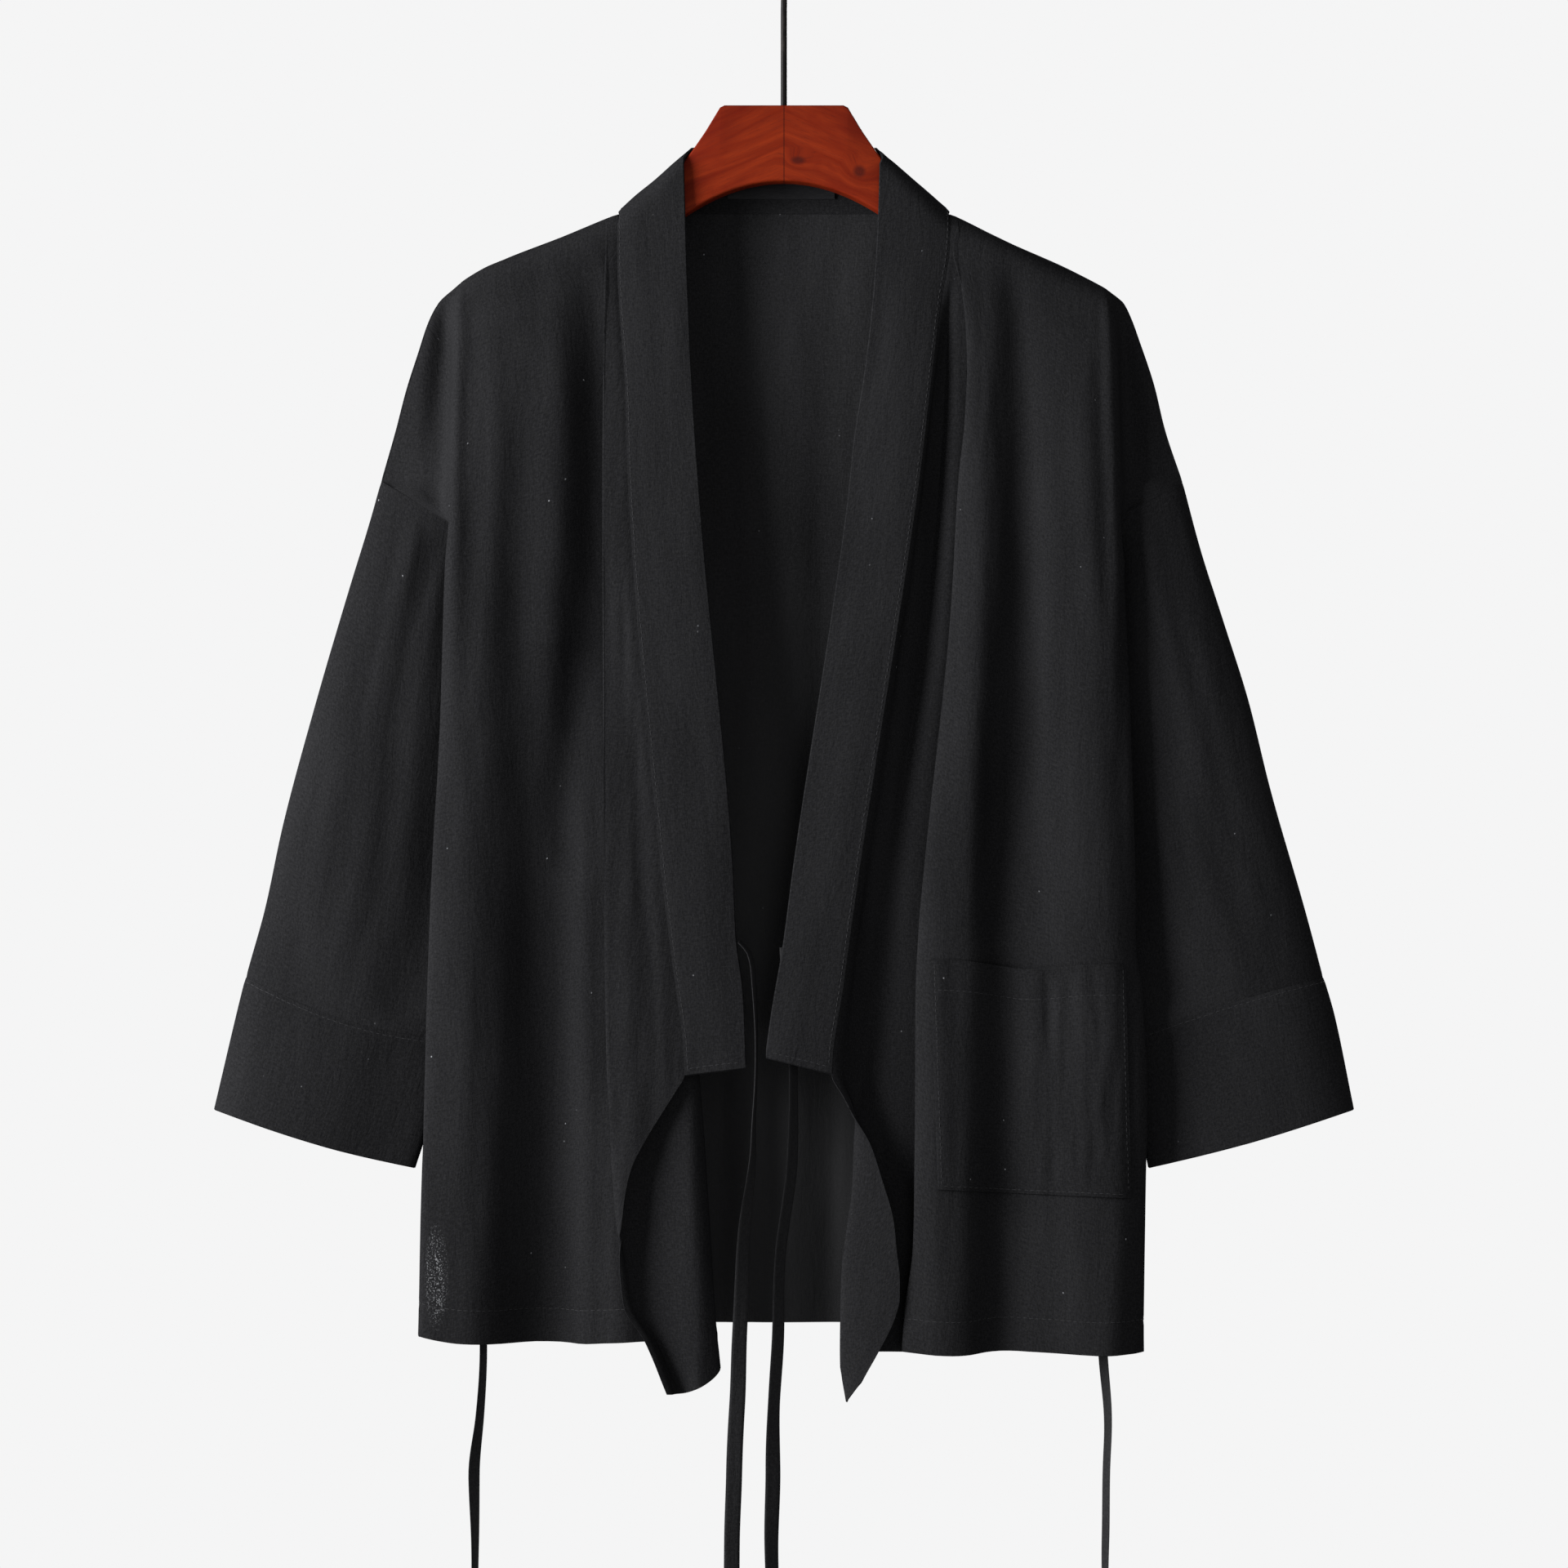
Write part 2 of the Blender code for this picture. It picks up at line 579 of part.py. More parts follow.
def make_back():
    plains = [plain for plain in ROWS if plain not in BACK_SKIPS]
    rows = []
    for plain in plains:
        share = (plain - ROWS[0]) / (ROWS[-1] - ROWS[0])
        left = back_side_keys(LEFT, plain)
        right = back_side_keys(RIGHT, plain)[::-1]
        folds = []
        for top, hem, top_depth, hem_depth, at_neck in BACK_FOLDS[1:]:
            start = BACK_NECK_DROP if at_neck else smooth(SHOULDER_LEFT if top < 0 else SHOULDER_RIGHT, top)
            drop = start + (BACK_HEM - start) * share
            rounded = CAP_DEPTH if at_neck else rounding(drop - start)
            grown = np.interp(drop - start, (0, FOLD_START), (1, 1) if at_neck else (0, 1))
            depth = SEAM / 2 + rounded + grown * (top_depth + (hem_depth - top_depth) * share)
            folds.append((top + (hem - top) * share, drop, depth))
        rows.append(across_keys(np.concatenate([left, folds, right]), BETWEEN))
    ridge = np.array([(0, 0, 1) if abs(x) < 110 else (0, 1, 0) for x in rows[0][:, 0]])
    shell(
        "back", "cloth", grid_world(np.array(rows)), CLOTH,
        flat={"top": ridge, "first": edge_directions(LEFT, plains), "last": edge_directions(RIGHT, plains)},
    )


def sleeve_rings(sleeve, start, end, depths, sags, rows, around):
    """Rings of a flat tube from one slanted line to another, each line as the drop of its outer and inner edge."""
    turns = np.arange(around) / around * 2 * math.pi
    share = (1 - np.cos(turns)) / 2
    rings = []
    for part in np.linspace(0, 1, rows):
        outer_drop = start[0] + (end[0] - start[0]) * part
        inner_drop = start[1] + (end[1] - start[1]) * part
        outer = smooth(sleeve["outer"], outer_drop)
        inner = smooth(sleeve["inner"], inner_drop)
        sag = (sags[0] + (sags[1] - sags[0]) * part) * np.sin(math.pi * share)
        depth = smooth(depths, part) * np.sin(turns) * (1 + SLEEVE_LEAN * np.cos(turns))
        across = outer + (inner - outer) * share
        drop = outer_drop + (inner_drop - outer_drop) * share + sag
        rings.append(np.stack([across, drop, -depth], 1))
    return np.array(rings)


def make_sleeve(side, sleeve, front):
    rings = sleeve_rings(
        sleeve, SLEEVE_TOP, CUFF_SEAM, SLEEVE_DEPTH, (0, sleeve["seam_sag"]), 12, 22
    )
    points = grid_world(rings)
    cross = armhole_normal(front.lines)
    points[0] += cross * ARMHOLE_SEAM * MM
    shell(f"sleeve_{side}", "cloth", points, CLOTH, round_it=True, flat={"top": cross})


def make_cuff(side, sleeve):
    start = tuple(drop + SEAM * 1.1 for drop in CUFF_SEAM)
    rings = sleeve_rings(sleeve, start, CUFF_HEM, CUFF_DEPTH, (sleeve["seam_sag"], sleeve["hem_sag"]), 4, 22)
    shell(f"cuff_{side}", "cloth", grid_world(rings), CUFF_CLOTH, round_it=True)


def band_front(front, inner, ends):
    """Sections of the band along one front's rows, from its lower end up: seam, then inner edge."""
    sections = []
    inward = np.sign(inner[-1][1] - front.lines["seam"][5][1])
    top = front.top("seam")
    for plain in reversed([row for row in ROWS if row <= BAND_ROW]):
        seam_drop = top + (front.hem["seam"] - top) * front.share(plain)
        if seam_drop < BAND_FRONT_TOP[0] - 1:
            break
        inner_drop = np.interp(seam_drop, (BAND_FRONT_TOP[0], ends[0]), (BAND_FRONT_TOP[1], ends[1]))
        sections.append(
            (
                front.across("seam", seam_drop) + inward * SEAM / 2, seam_drop, front.depth("seam", seam_drop),
                smooth(inner, inner_drop), inner_drop, -smooth(BAND_FORWARD, inner_drop),
            )
        )
    return sections


def whole_turn():
    """BAND_TURN from the left shoulder round the neck to the right one."""
    other = [(-row[0], row[1], row[2], -row[3], row[4], row[5]) for row in BAND_TURN[-2::-1]]
    return list(BAND_TURN) + other


def band_grid(across):
    left = band_front(LEFT, BAND_LEFT, BAND_ENDS[0])
    right = band_front(RIGHT, BAND_RIGHT, BAND_ENDS[1])
    sections = np.array(left + whole_turn() + right[::-1])
    rows = []
    for share in np.linspace(0, 1, across):
        line = sections[:, :3] + (sections[:, 3:] - sections[:, :3]) * share
        rows.append(line)
    grid = np.stack(rows, 1)
    lift = np.sin(math.pi * np.linspace(0, 1, across))
    fronts = np.clip(-sections[:, 2] / CAP_DEPTH, 0, 1)
    grid[..., 2] -= fronts[:, None] * lift
    return grid


def make_band():
    grid = band_grid(5)
    seam = np.array([(1, 0, 0) if depth < -3 else (0, 0, 1) for depth in grid[:, 0, 2]])
    shell("collar_band", "cloth", grid_world(grid), BAND_CLOTH, flat={"first": seam})


def make_pocket():
    (a, b, c, d) = [np.array(corner, float) for corner in POCKET_CORNERS]
    rows = []
    for down in np.linspace(0, 1, 9):
        left, right = a * (1 - down) + c * down, b * (1 - down) + d * down
        # Its columns follow the front's own, so that it lies on the same facets
        own = RIGHT.line_at((left[0] + right[0]) / 2)[3 * BETWEEN:5 * BETWEEN + 1, 0][::-1]
        spots = np.concatenate([[left[1]], own, [right[1]]])
        places = np.arange(len(spots))
        row = []
        for across in np.interp(np.linspace(0, places[-1], POCKET_COLUMNS), places, spots):
            along = (across - left[1]) / (right[1] - left[1])
            drop = left[0] + (right[0] - left[0]) * along
            slack = math.exp(-(((along - MOUTH_MIDDLE) / MOUTH_WIDTH) ** 2)) * (1 - down) ** 3
            depth = RIGHT.depth_at(across, drop) - POCKET_LIFT - MOUTH_BULGE * slack
            row.append((across, drop + MOUTH_SAG * slack, depth))
        rows.append(row)
    shell("pocket", "cloth", grid_world(np.array(rows)), POCKET_CLOTH)


def make_label():
    """A bare label on the inside of the band, behind the neck."""
    behind = np.array(whole_turn())[2:-2]
    rows = []
    for drop in np.linspace(*LABEL_DROPS, 3):
        row = []
        for across in np.linspace(*LABEL_SIDES, 9):
            seam = np.interp(across, behind[:, 0], behind[:, 2])
            inner = np.interp(across, behind[:, 3], behind[:, 5])
            share = (behind[0][1] - drop) / (behind[0][1] - behind[0][4])
            row.append((across, drop, seam + (inner - seam) * share - LABEL_LIFT))
        rows.append(row)
    shell("neck_label", "label", grid_world(np.array(rows)), LABEL_CLOTH)


def tie_route(route):
    """Points every TIE_STEP or so down a tie, with its turn."""
    table = np.array(route, float)
    lengths = np.linalg.norm(np.diff(table[:, :3], axis=0), axis=1)
    places = np.concatenate([[0], np.cumsum(lengths)])
    count = round(places[-1] / TIE_STEP) + 1
    at = np.linspace(0, places[-1], count)
    return np.stack([smooth(np.stack([places, table[:, column]], 1), at) for column in range(4)], 1)


def make_tie(name, route):
    line = tie_route(route)
    points = world(line[:, 1], line[:, 0], line[:, 2])
    tangents = unit(np.gradient(points, axis=0))
    turns = np.radians(line[:, 3])
    facing = np.stack([np.sin(turns), -np.cos(turns), np.zeros(len(turns))], 1)
    wide = unit(np.cross(tangents, facing)) * TAPE_WIDTH * MM / 2
    thick = unit(np.cross(wide, tangents)) * TAPE_CLOTH * MM / 2
    rings = [np.stack([p + w + t, p - w + t, p - w - t, p + w - t]) for p, w, t in zip(points, wide, thick)]
    loft(name, "tape", rings)


def wood_top(distance, side):
    """Drop of the hanger's upper edge: the block's shape, then just under the band and the shoulder it carries."""
    neck, ridge = BAND_TURN[1][0], BAND_TURN[1][3]
    if distance <= WOOD_TOP[-1][0]:
        return np.interp(distance, *zip(*WOOD_TOP))
    front = RIGHT if side > 0 else LEFT
    shoulder = front.grid()[0]
    order = np.argsort(shoulder[:, 0])
    if distance < SHOULDER_RIGHT[0][0]:
        ends = (front.top("seam") + NECK_REST, BAND_TURN[1][4] + BAND_REST)
        return np.interp(-distance, (neck, ridge), ends)
    tip = max(distance - TIP_START, 0) ** 2 / TIP_ROUND
    return np.interp(side * distance, shoulder[order, 0], shoulder[order, 1]) + ARM_REST + tip


def wood_ring(distance, side):
    """The hanger's section so far from the middle: a rectangle with rounded corners."""
    top = wood_top(distance, side)
    if distance <= ARCH_HALF:
        bottom = ARCH_DROP + ARCH_RISE * (distance / ARCH_HALF) ** 2
    else:
        bottom = smooth(WOOD_BOTTOM, distance)
    radius = min(np.interp(distance, *zip(*WOOD_ROUND)), (bottom - top) / 2 - 0.3)
    ring = []
    for quarter in range(4):
        for step in range(3):
            angle = math.radians(quarter * 90 + step * 45)
            depth = math.copysign(WOOD_HALF - radius, (1, -1, -1, 1)[quarter]) + radius * math.cos(angle)
            middle = top + radius if quarter < 2 else bottom - radius
            ring.append((side * distance, depth, middle - radius * math.sin(angle)))
    ring = np.array(ring)
    return np.stack([ring[:, 0], ring[:, 1], TOP - ring[:, 2]], 1) * MM


def make_hanger(side, name):
    loft(name, "wood", [wood_ring(distance, side) for distance in WOOD_STATIONS])


def make_hook():
    radius = HOOK_RADIUS + WIRE / 2
    route = [(0, TOP + HOOK_GAP), (0, TOP + 30), (0, TOP + 60), *HOOK_BEND]
    for angle in np.radians(np.arange(*HOOK_ANGLES)):
        route.append((radius * math.cos(angle), -HOOK_RADIUS + radius * math.sin(angle)))
    route = np.array(route)
    tangents = unit(np.gradient(route, axis=0))
    rings = []
    for (x, z), (along_x, along_z) in zip(route, tangents):
        ring = []
        for angle in np.arange(8) / 8 * 2 * math.pi:
            out, side = math.cos(angle) * WIRE / 2, math.sin(angle) * WIRE / 2
            ring.append((x - along_z * out, side, z + along_x * out))
        rings.append(np.array(ring) * MM)
    loft("hook", "steel", rings)


def main():
    for old in list(bpy.data.objects):
        bpy.data.objects.remove(old, do_unlink=True)
    make_front("front_left", LEFT)
    make_front("front_right", RIGHT)
    make_back()
    make_sleeve("left", SLEEVE_LEFT, LEFT)
    make_sleeve("right", SLEEVE_RIGHT, RIGHT)
    make_cuff("left", SLEEVE_LEFT)
    make_cuff("right", SLEEVE_RIGHT)
    make_band()
    make_pocket()
    make_label()
    for name, route in TIES.items():
        make_tie(name, route)
    make_hanger(-1, "hanger_left")
    make_hanger(1, "hanger_right")
    make_hook()


main()
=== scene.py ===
"""The looks of a black kimono jacket hung by its shoulders on a wooden hanger.

The tables hold millimetres: across is to the right of the middle, drop is down from the top of the
hanger's wood, and depth is away from the eye, so the fronts have negative depths. Left and right are
as seen from the front. The origin is where the hook rests on its rail.
"""

import math

import bmesh
import bpy
import mathutils
import numpy as np
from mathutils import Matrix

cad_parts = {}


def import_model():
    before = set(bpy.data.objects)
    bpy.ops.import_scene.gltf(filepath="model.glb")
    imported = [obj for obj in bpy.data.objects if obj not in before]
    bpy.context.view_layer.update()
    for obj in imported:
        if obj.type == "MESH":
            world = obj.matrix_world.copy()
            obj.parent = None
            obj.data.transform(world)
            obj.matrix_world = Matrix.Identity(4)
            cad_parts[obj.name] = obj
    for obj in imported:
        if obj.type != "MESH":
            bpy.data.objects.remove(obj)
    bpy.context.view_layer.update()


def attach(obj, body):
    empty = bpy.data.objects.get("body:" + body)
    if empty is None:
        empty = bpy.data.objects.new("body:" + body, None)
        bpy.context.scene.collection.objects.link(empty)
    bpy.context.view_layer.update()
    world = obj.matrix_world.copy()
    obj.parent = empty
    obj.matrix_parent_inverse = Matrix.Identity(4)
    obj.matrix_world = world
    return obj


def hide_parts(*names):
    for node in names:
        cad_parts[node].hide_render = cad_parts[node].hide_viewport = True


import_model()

MM = 0.001

# Driving sizes, in millimetres
EYE_DISTANCE = 2200  # the tables' widths and drops are as seen from this far in front
EYE_DROP = 456  # and level with this drop
SEAM = -0.6  # sewn pieces lie this far over each other
WIRE = 4.4  # hook
HOOK_RADIUS = 20  # inside the hook
SHANK = 92  # from the bottom of the hook's circle to the wood
HOOK_BEND = ((0.2, -58), (1.8, -51), (5.4, -44.5))  # across and height, where the shank turns into the hook
HOOK_TURN = (-60, 221, 14)  # degrees round the hook: from, to, step
HOOK_END = ((0.8, 0.46), (1.5, 0.36), (2.0, 0.2))  # the rounded end: past the wire, share of its width
WOOD_HALF = 7  # half the thickness of the hanger
WOOD_EDGE = 2  # rounding of the block's edges
ARM_REST = 2.4  # from the middle of the cloth down to the arm that carries it
BAND_REST = 3.2  # the same under the thicker band
NECK_REST = 5.2  # and where the band meets the shoulder
CAP_DEPTH = 10  # how far the cloth rounds out over an arm
CAP_DROP = 14  # the drop over which it does
ARMHOLE_TOP = 253
ARMHOLE_END = 307
ARMHOLE_DEPTH = 10  # half the thickness of the flat sleeve at the armhole
NECK_DROP = 73

TOP = -(2 * HOOK_RADIUS + WIRE / 2 + SHANK)

# Rows of the front and back panels, as drops along their outer edge
ROWS = (
    122, 124, 127, 132, 141, 165, 195, 225, 253, 271, 289, 307, 345,
    400, 460, 520, 580, 636, 665, 692, 716, 740, 764, 790, 810, 827,
)
BAND_ROW = 636  # the row at which the collar band ends
BETWEEN = 9  # columns from one line to the next

# Shoulder ridges: (across, drop)
SHOULDER_LEFT = (
    (-226, 125), (-215, 117), (-206, 111), (-195, 106), (-159, 92), (-135, 82), (-112, NECK_DROP),
)
SHOULDER_RIGHT = ((112, NECK_DROP), (129, 81), (158, 95), (184, 106), (205, 117), (225, 127))

# Lines down each front: (drop, across)
LEFT_LINES = {
    "edge": (
        (122, -221), (132, -232), (145, -239), (166, -246), (191, -254), (218, -261), (253, -271),
        (307, -180), (335, -177), (368, -179), (423, -186), (494, -196), (560, -207), (629, -219),
        (689, -234), (720, -240), (764, -244), (827, -246),
    ),
    "fold": (
        (117, -216), (137, -218), (184, -219), (232, -222), (268, -224), (323, -227), (419, -231),
        (522, -237), (606, -240), (715, -243), (828, -245),
    ),
    "ridge": ((112, -202), (313, -204), (423, -208), (533, -211), (753, -216), (833, -216)),
    "valley": ((93, -161), (258, -153), (423, -147), (833, -151)),
    "pleat": ((78, -122), (129, -118), (203, -115), (313, -111), (643, -108), (832, -105)),
    "behind": ((77, -121), (129, -119), (203, -114), (423, -99), (665, -84), (831, -81)),
    "rear": (
        (76, -120.3), (129, -117), (203, -108), (313, -95), (423, -82), (533, -70), (665, -56), (753, -50),
        (817, -46), (849, -43),
    ),
    "middle": (
        (76, -119.6), (129, -117.7), (203, -112), (423, -92), (533, -80), (665, -66), (753, -62),
        (819, -58), (863, -58),
    ),
    "hollow": (
        (76, -119), (203, -116), (423, -109), (533, -104), (665, -97), (753, -95), (819, -88), (866, -68),
    ),
    "strip": (
        (76, -118.8), (129, -121), (268, -122), (511, -121), (642, -119), (697, -116), (753, -112),
        (778, -107), (808, -101), (831, -88), (866, -73),
    ),
    "seam": (
        (73, -112), (107, -112), (145, -110), (185, -107), (249, -105), (511, -83), (569, -76), (652, -67),
        (663, -73), (679, -83), (697, -94), (716, -103), (735, -107), (756, -109), (775, -111), (808, -108),
        (831, -94), (867, -79),
    ),
}
RIGHT_LINES = {
    "edge": (
        (127, 222), (132, 228), (144, 234), (155, 238), (188, 249), (217, 256), (253, 268), (307, 180),
        (335, 178), (368, 180), (423, 186), (494, 196), (560, 207), (629, 220), (689, 234), (720, 238),
        (764, 241), (838, 242),
    ),
    "fold": (
        (123, 216), (157, 220), (232, 224), (286, 227), (391, 232), (511, 236), (567, 237), (595, 241),
        (679, 244), (710, 243), (838, 241),
    ),
    "ridge": ((118, 207), (203, 207), (313, 210), (478, 214), (643, 217), (838, 216)),
    "valley": ((95, 158), (203, 161), (335, 165), (511, 161), (643, 158), (838, 158)),
    "crest": ((86, 139), (335, 139), (511, 125), (643, 119), (838, 118)),
    "main": (
        (76, 118), (95, 114), (122, 120), (166, 124), (213, 122), (250, 118), (335, 113), (511, 95),
        (555, 91), (598, 89), (739, 88), (771, 87), (807, 82), (833, 80),
    ),
    "behind": ((76, 117), (122, 121), (203, 124), (335, 118), (511, 101), (669, 95), (771, 94), (833, 87)),
    "inner": (
        (75, 115.5), (134, 112), (203, 110), (335, 100), (511, 74), (643, 62), (698, 68), (807, 60),
        (838, 62),
    ),
    "leaf": (
        (74, 113.6), (134, 109), (191, 103), (249, 97), (511, 59), (588, 48), (651, 43), (681, 49),
        (698, 48), (734, 46), (753, 43), (789, 39), (844, 38), (872, 42),
    ),
    "seam": (
        (73, 112), (96, 111), (134, 105), (191, 98), (249, 91), (511, 51), (590, 40), (651, 32), (666, 40),
        (681, 48), (698, 58), (722, 66), (751, 74), (771, 76), (789, 78), (802, 78), (815, 75), (838, 64),
        (859, 52),
    ),
}

# How far each line stands forward of the shoulder's rounding: (drop, one value for each name)
LEFT_FORWARD = (
    ("drop", "fold", "ridge", "valley", "pleat", "behind", "rear", "middle", "hollow", "strip", "seam"),
    (120, 4, 5, 2, 0, 0, 0.7, 1.5, 2.2, 3.2, 1.5),
    (203, 10, 13, 12, 0.5, 0, 0.5, 1.5, 4.5, 8, 8),
    (313, 12, 17, 14, 1, 0, 2, 5, 7, 12.5, 13),
    (478, 13, 20, 12, 4, 2, 6, 11, 12, 19, 20),
    (643, 17, 22, 9, 10, 5, 11, 17, 15, 24, 24),
    (725, 18, 22, 8, 12, 7, 13, 21, 14, 23, 27),
    (760, 18, 22, 8, 12, 7, 13, 21, 13, 22, 27),
    (819, 17, 22, 7, 12, 8, 14, 21, 14, 18, 24),
)
RIGHT_FORWARD = (
    ("drop", "fold", "ridge", "valley", "crest", "main", "behind", "inner", "leaf", "seam"),
    (120, 4, 5, 0, 1, 1.5, 0, 0, 0, 0),
    (203, 9, 12, 6, 10, 5, 0, 0.5, 2, 7),
    (335, 10, 15, 8, 15, 9, 1, 1.5, 3.5, 12),
    (511, 10, 18, 10, 21, 14, 4, 5, 8, 19),
    (651, 10, 20, 12, 24, 21, 6, 7, 15, 24),
    (681, 10, 20, 12, 24, 21, 6, 7, 16, 22),
    (725, 9, 20, 12, 25, 21, 6, 7, 15, 24),
    (789, 5, 20, 12, 25, 21, 6, 8, 15, 25),
    (838, 2, 20, 12, 25, 20, 7, 9, 16, 24),
)

# Share of the side fold's depth half way in to the outer edge: (drop, share)
RECESS = ((253, 0.3), (289, 0.45), (320, 0.66), (600, 0.6), (740, 0.5))
# How far a front stands off the sleeve behind its side fold: (share of the armhole, millimetres)
LAP = ((0.55, 0), (0.75, 2.0), (0.92, 2.4), (1, 0))

# How far the cloth bulges half way from the strip or leaf to the free edge: drops, millimetres
MIDDLE_LIFT = ((400, 650), (0, 1.5))

# Drop at which each line of a front ends in the hem
LEFT_HEM = {
    "edge": 827, "recess": 827.5, "fold": 828, "ridge": 833, "valley": 833.5, "pleat": 832, "behind": 831,
    "rear": 849, "middle": 863, "hollow": 866, "strip": 866.5, "strip_middle": 867, "seam": 867,
}
RIGHT_HEM = {
    "edge": 838, "recess": 838, "fold": 838, "ridge": 841, "valley": 838, "crest": 841, "main": 838,
    "behind": 838, "inner": 838, "leaf": 872, "leaf_middle": 866, "seam": 859,
}

# Folds of the back: across at the top and at the hem, depth behind the shoulder's rounding at each, and
# whether the fold starts at the neck
BACK_FOLDS = (
    ("top", "hem", "top_depth", "hem_depth", "at_neck"),
    (-191, -202, 2, 18, False),
    (-150, -158, 1, 9, False),
    (-112, -115, 0, 19, False),
    (-105, -90, 1, 16, True),
    (-75, -61, 5, 9, True),
    (-50, -43, 8, 20, True),
    (-20, -18, 9.5, 9, True),
    (5, 3, 10, 9, True),
    (32, 31, 9, 20, True),
    (62, 58, 7, 11, True),
    (105, 92, 1, 18, True),
    (112, 108, 0, 19, False),
    (150, 150, 1, 9, False),
    (190, 200, 2, 18, False),
)
BACK_HEM = 818
BACK_NECK_DROP = 72

# Inner edge of the collar band down each front: (drop, across)
BAND_LEFT = ((36, -68), (73, -67), (158, -64), (268, -57), (511, -35), (557, -33), (598, -28), (647, -26))
BAND_RIGHT = (
    (36, 65), (73, 64), (122, 61), (177, 55), (222, 48), (268, 43), (511, 7), (564, 0), (611, -8),
    (640, -12),
)
# and how far forward it stands: (drop, forward)
BAND_FORWARD = ((38, 11.5), (203, 18), (423, 27), (647, 35))
BAND_FORWARD_RIGHT = ((38, 11.5), (203, 14.5), (423, 22.5), (560, 32), (647, 35))
BAND_ENDS = ((652, 647), (651, 640))  # drop of the seam and of the inner edge at each end
BAND_FRONT_TOP = (79, 38)  # the same where the band starts to turn over the shoulder
# The turn over each shoulder and round the neck: across, drop, depth of the seam, then of the inner edge
BAND_TURN = (
    (-111.5, 74.5, -4.7, -67, 33, -8),
    (-111, 70, 0, -62, 28.5, 0),
    (-109, 71, 6, -62, 28, 8.5),
    (-105, 72, 11.5, -56, 27.5, 12),
    (-87, 72.4, 14.5, -41, 27, 15.5),
    (-52, 72.4, 18, -21, 27, 18.5),
    (0, 72.4, 20, 0, 27, 20.5),
)

# Sleeves: outer and inner outline (drop, across), and how far the cuff's seam and hem sag in the middle
SLEEVE_LEFT = {
    "outer": (
        (253, -271), (278, -278), (327, -293), (402, -315), (484, -337), (540, -349), (587, -362),
        (675, -383),
    ),
    "inner": (
        (303.5, -186), (335, -191), (368, -193), (423, -197), (494, -205), (560, -215), (629, -227),
        (689, -241), (714, -249),
    ),
    "seam_sag": 8,
    "hem_sag": 3.5,
}
SLEEVE_RIGHT = {
    "outer": (
        (253, 268), (298, 280), (345, 295), (399, 312), (456, 326), (536, 349), (584, 362), (612, 370),
        (675, 383),
    ),
    "inner": (
        (303.5, 186), (335, 191), (368, 193), (423, 197), (494, 205), (560, 215), (629, 227), (689, 241),
        (714, 246),
    ),
    "seam_sag": -2,
    "hem_sag": 2.5,
}
SLEEVE_DEPTH = ((0, ARMHOLE_DEPTH), (0.4, 12), (1, 14))  # half thickness from the armhole to the cuff's seam
CUFF_DEPTH = ((0, 14), (1, 16))
SLEEVE_TOP = (ARMHOLE_TOP, 303.5)  # its inner edge stops short of the underarm, inside the body's seams
CUFF_SEAM = (587, 629)  # drop at the outer and at the inner edge
CUFF_HEM = (675, 714)
SLEEVE_LEAN = 0.45  # how far the fullness lies towards the outer edge

# Pocket: drop and across of its corners
POCKET_CORNERS = ((574, 99), (578, 230), (729, 104), (735, 234))
POCKET_LIFT = 2.1  # from the middle of the front's cloth to the middle of the pocket's
MOUTH_SAG = 5
MOUTH_MIDDLE = 0.5  # along the mouth
MOUTH_WIDTH = 0.24
MOUTH_BULGE = 3

LABEL_SIDES = (-38, 34)
LABEL_DROPS = (41, 62)
LABEL_LIFT = 2.1

# Ties: route as (drop, across, depth, turn in degrees from facing the front)
TIES = {
    "tie_band_left": (
        (562, -30.3, -32, 85), (569, -24, -32, 80), (581, -21, -32, 75), (634, -19, -31, 80),
        (695, -20, -30, 75), (756, -27, -29, 40), (820, -29, -28, 22), (917, -34, -28, 8),
        (984, -35, -28, 15), (1083, -37, -28, 25),
    ),
    "tie_band_right": (
        (566, 2.6, -30.1, 0), (600, 4, -25, 30), (650, 7, -24, 55), (704, 6, -24, 50), (774, -2, -24, 48),
        (867, -6, -24, 45), (917, -8, -24, 25), (984, -8, -24, 40), (1083, -10, -24, 30),
    ),
    "tie_side_left": (
        (568, -202.1, 0, 0), (590, -197, 0, 40), (698, -202, 0, 70), (833, -202, 0, 75), (881, -205, 0, 70),
        (922, -208, 0, 55), (984, -208, 0, 70), (1083, -210, 0, 60),
    ),
    "tie_side_right": (
        (568, 202.2, 0, 0), (590, 198, 0, -40), (698, 212, 0, -65), (841, 215, 0, -58), (899, 218, 0, -72),
        (984, 216, 0, -75), (1083, 215, 0, -60),
    ),
}
TIE_STEP = 5
# A tape's section: across it, through it
TAPE_SECTION = (
    (5, 0.45), (3.3, 0.6), (1.1, 0.5), (-1.1, 0.5), (-3.3, 0.6), (-5, 0.45), (-5.5, 0), (-5, -0.45),
    (-2.2, -0.5), (2.2, -0.5), (5, -0.45), (5.5, 0),
)
# How a tie waves: by how much across, in depth and in degrees of turn, and over what length
TIE_WAVES = ((0.8, 46), (0.8, 52), (6, 60))
TIE_CALM = 60  # below its root, before the waves are whole

# Hanger: (distance from the middle, drop) of its upper edge and of its lower edge beyond the arch
WOOD_TOP = (
    (0, 0), (40, 0), (43, 1.5), (53, 18), (62, 31), (67, 37),
)
ARCH_DROP = 51
ARCH_RISE = 23
ARCH_HALF = 67
WOOD_BOTTOM = ((67, 74), (85, 88), (112, 104), (159, 125), (197, 138), (212, 140), (216, 136))
TIP_START = 203
TIP_CURVE = 16  # how soon the upper edge falls away at the tip
WOOD_ROUND = ((0, WOOD_EDGE), (60, WOOD_EDGE), (95, WOOD_HALF - 0.5), (216, WOOD_HALF - 0.5))
CORNER_STEPS = 6


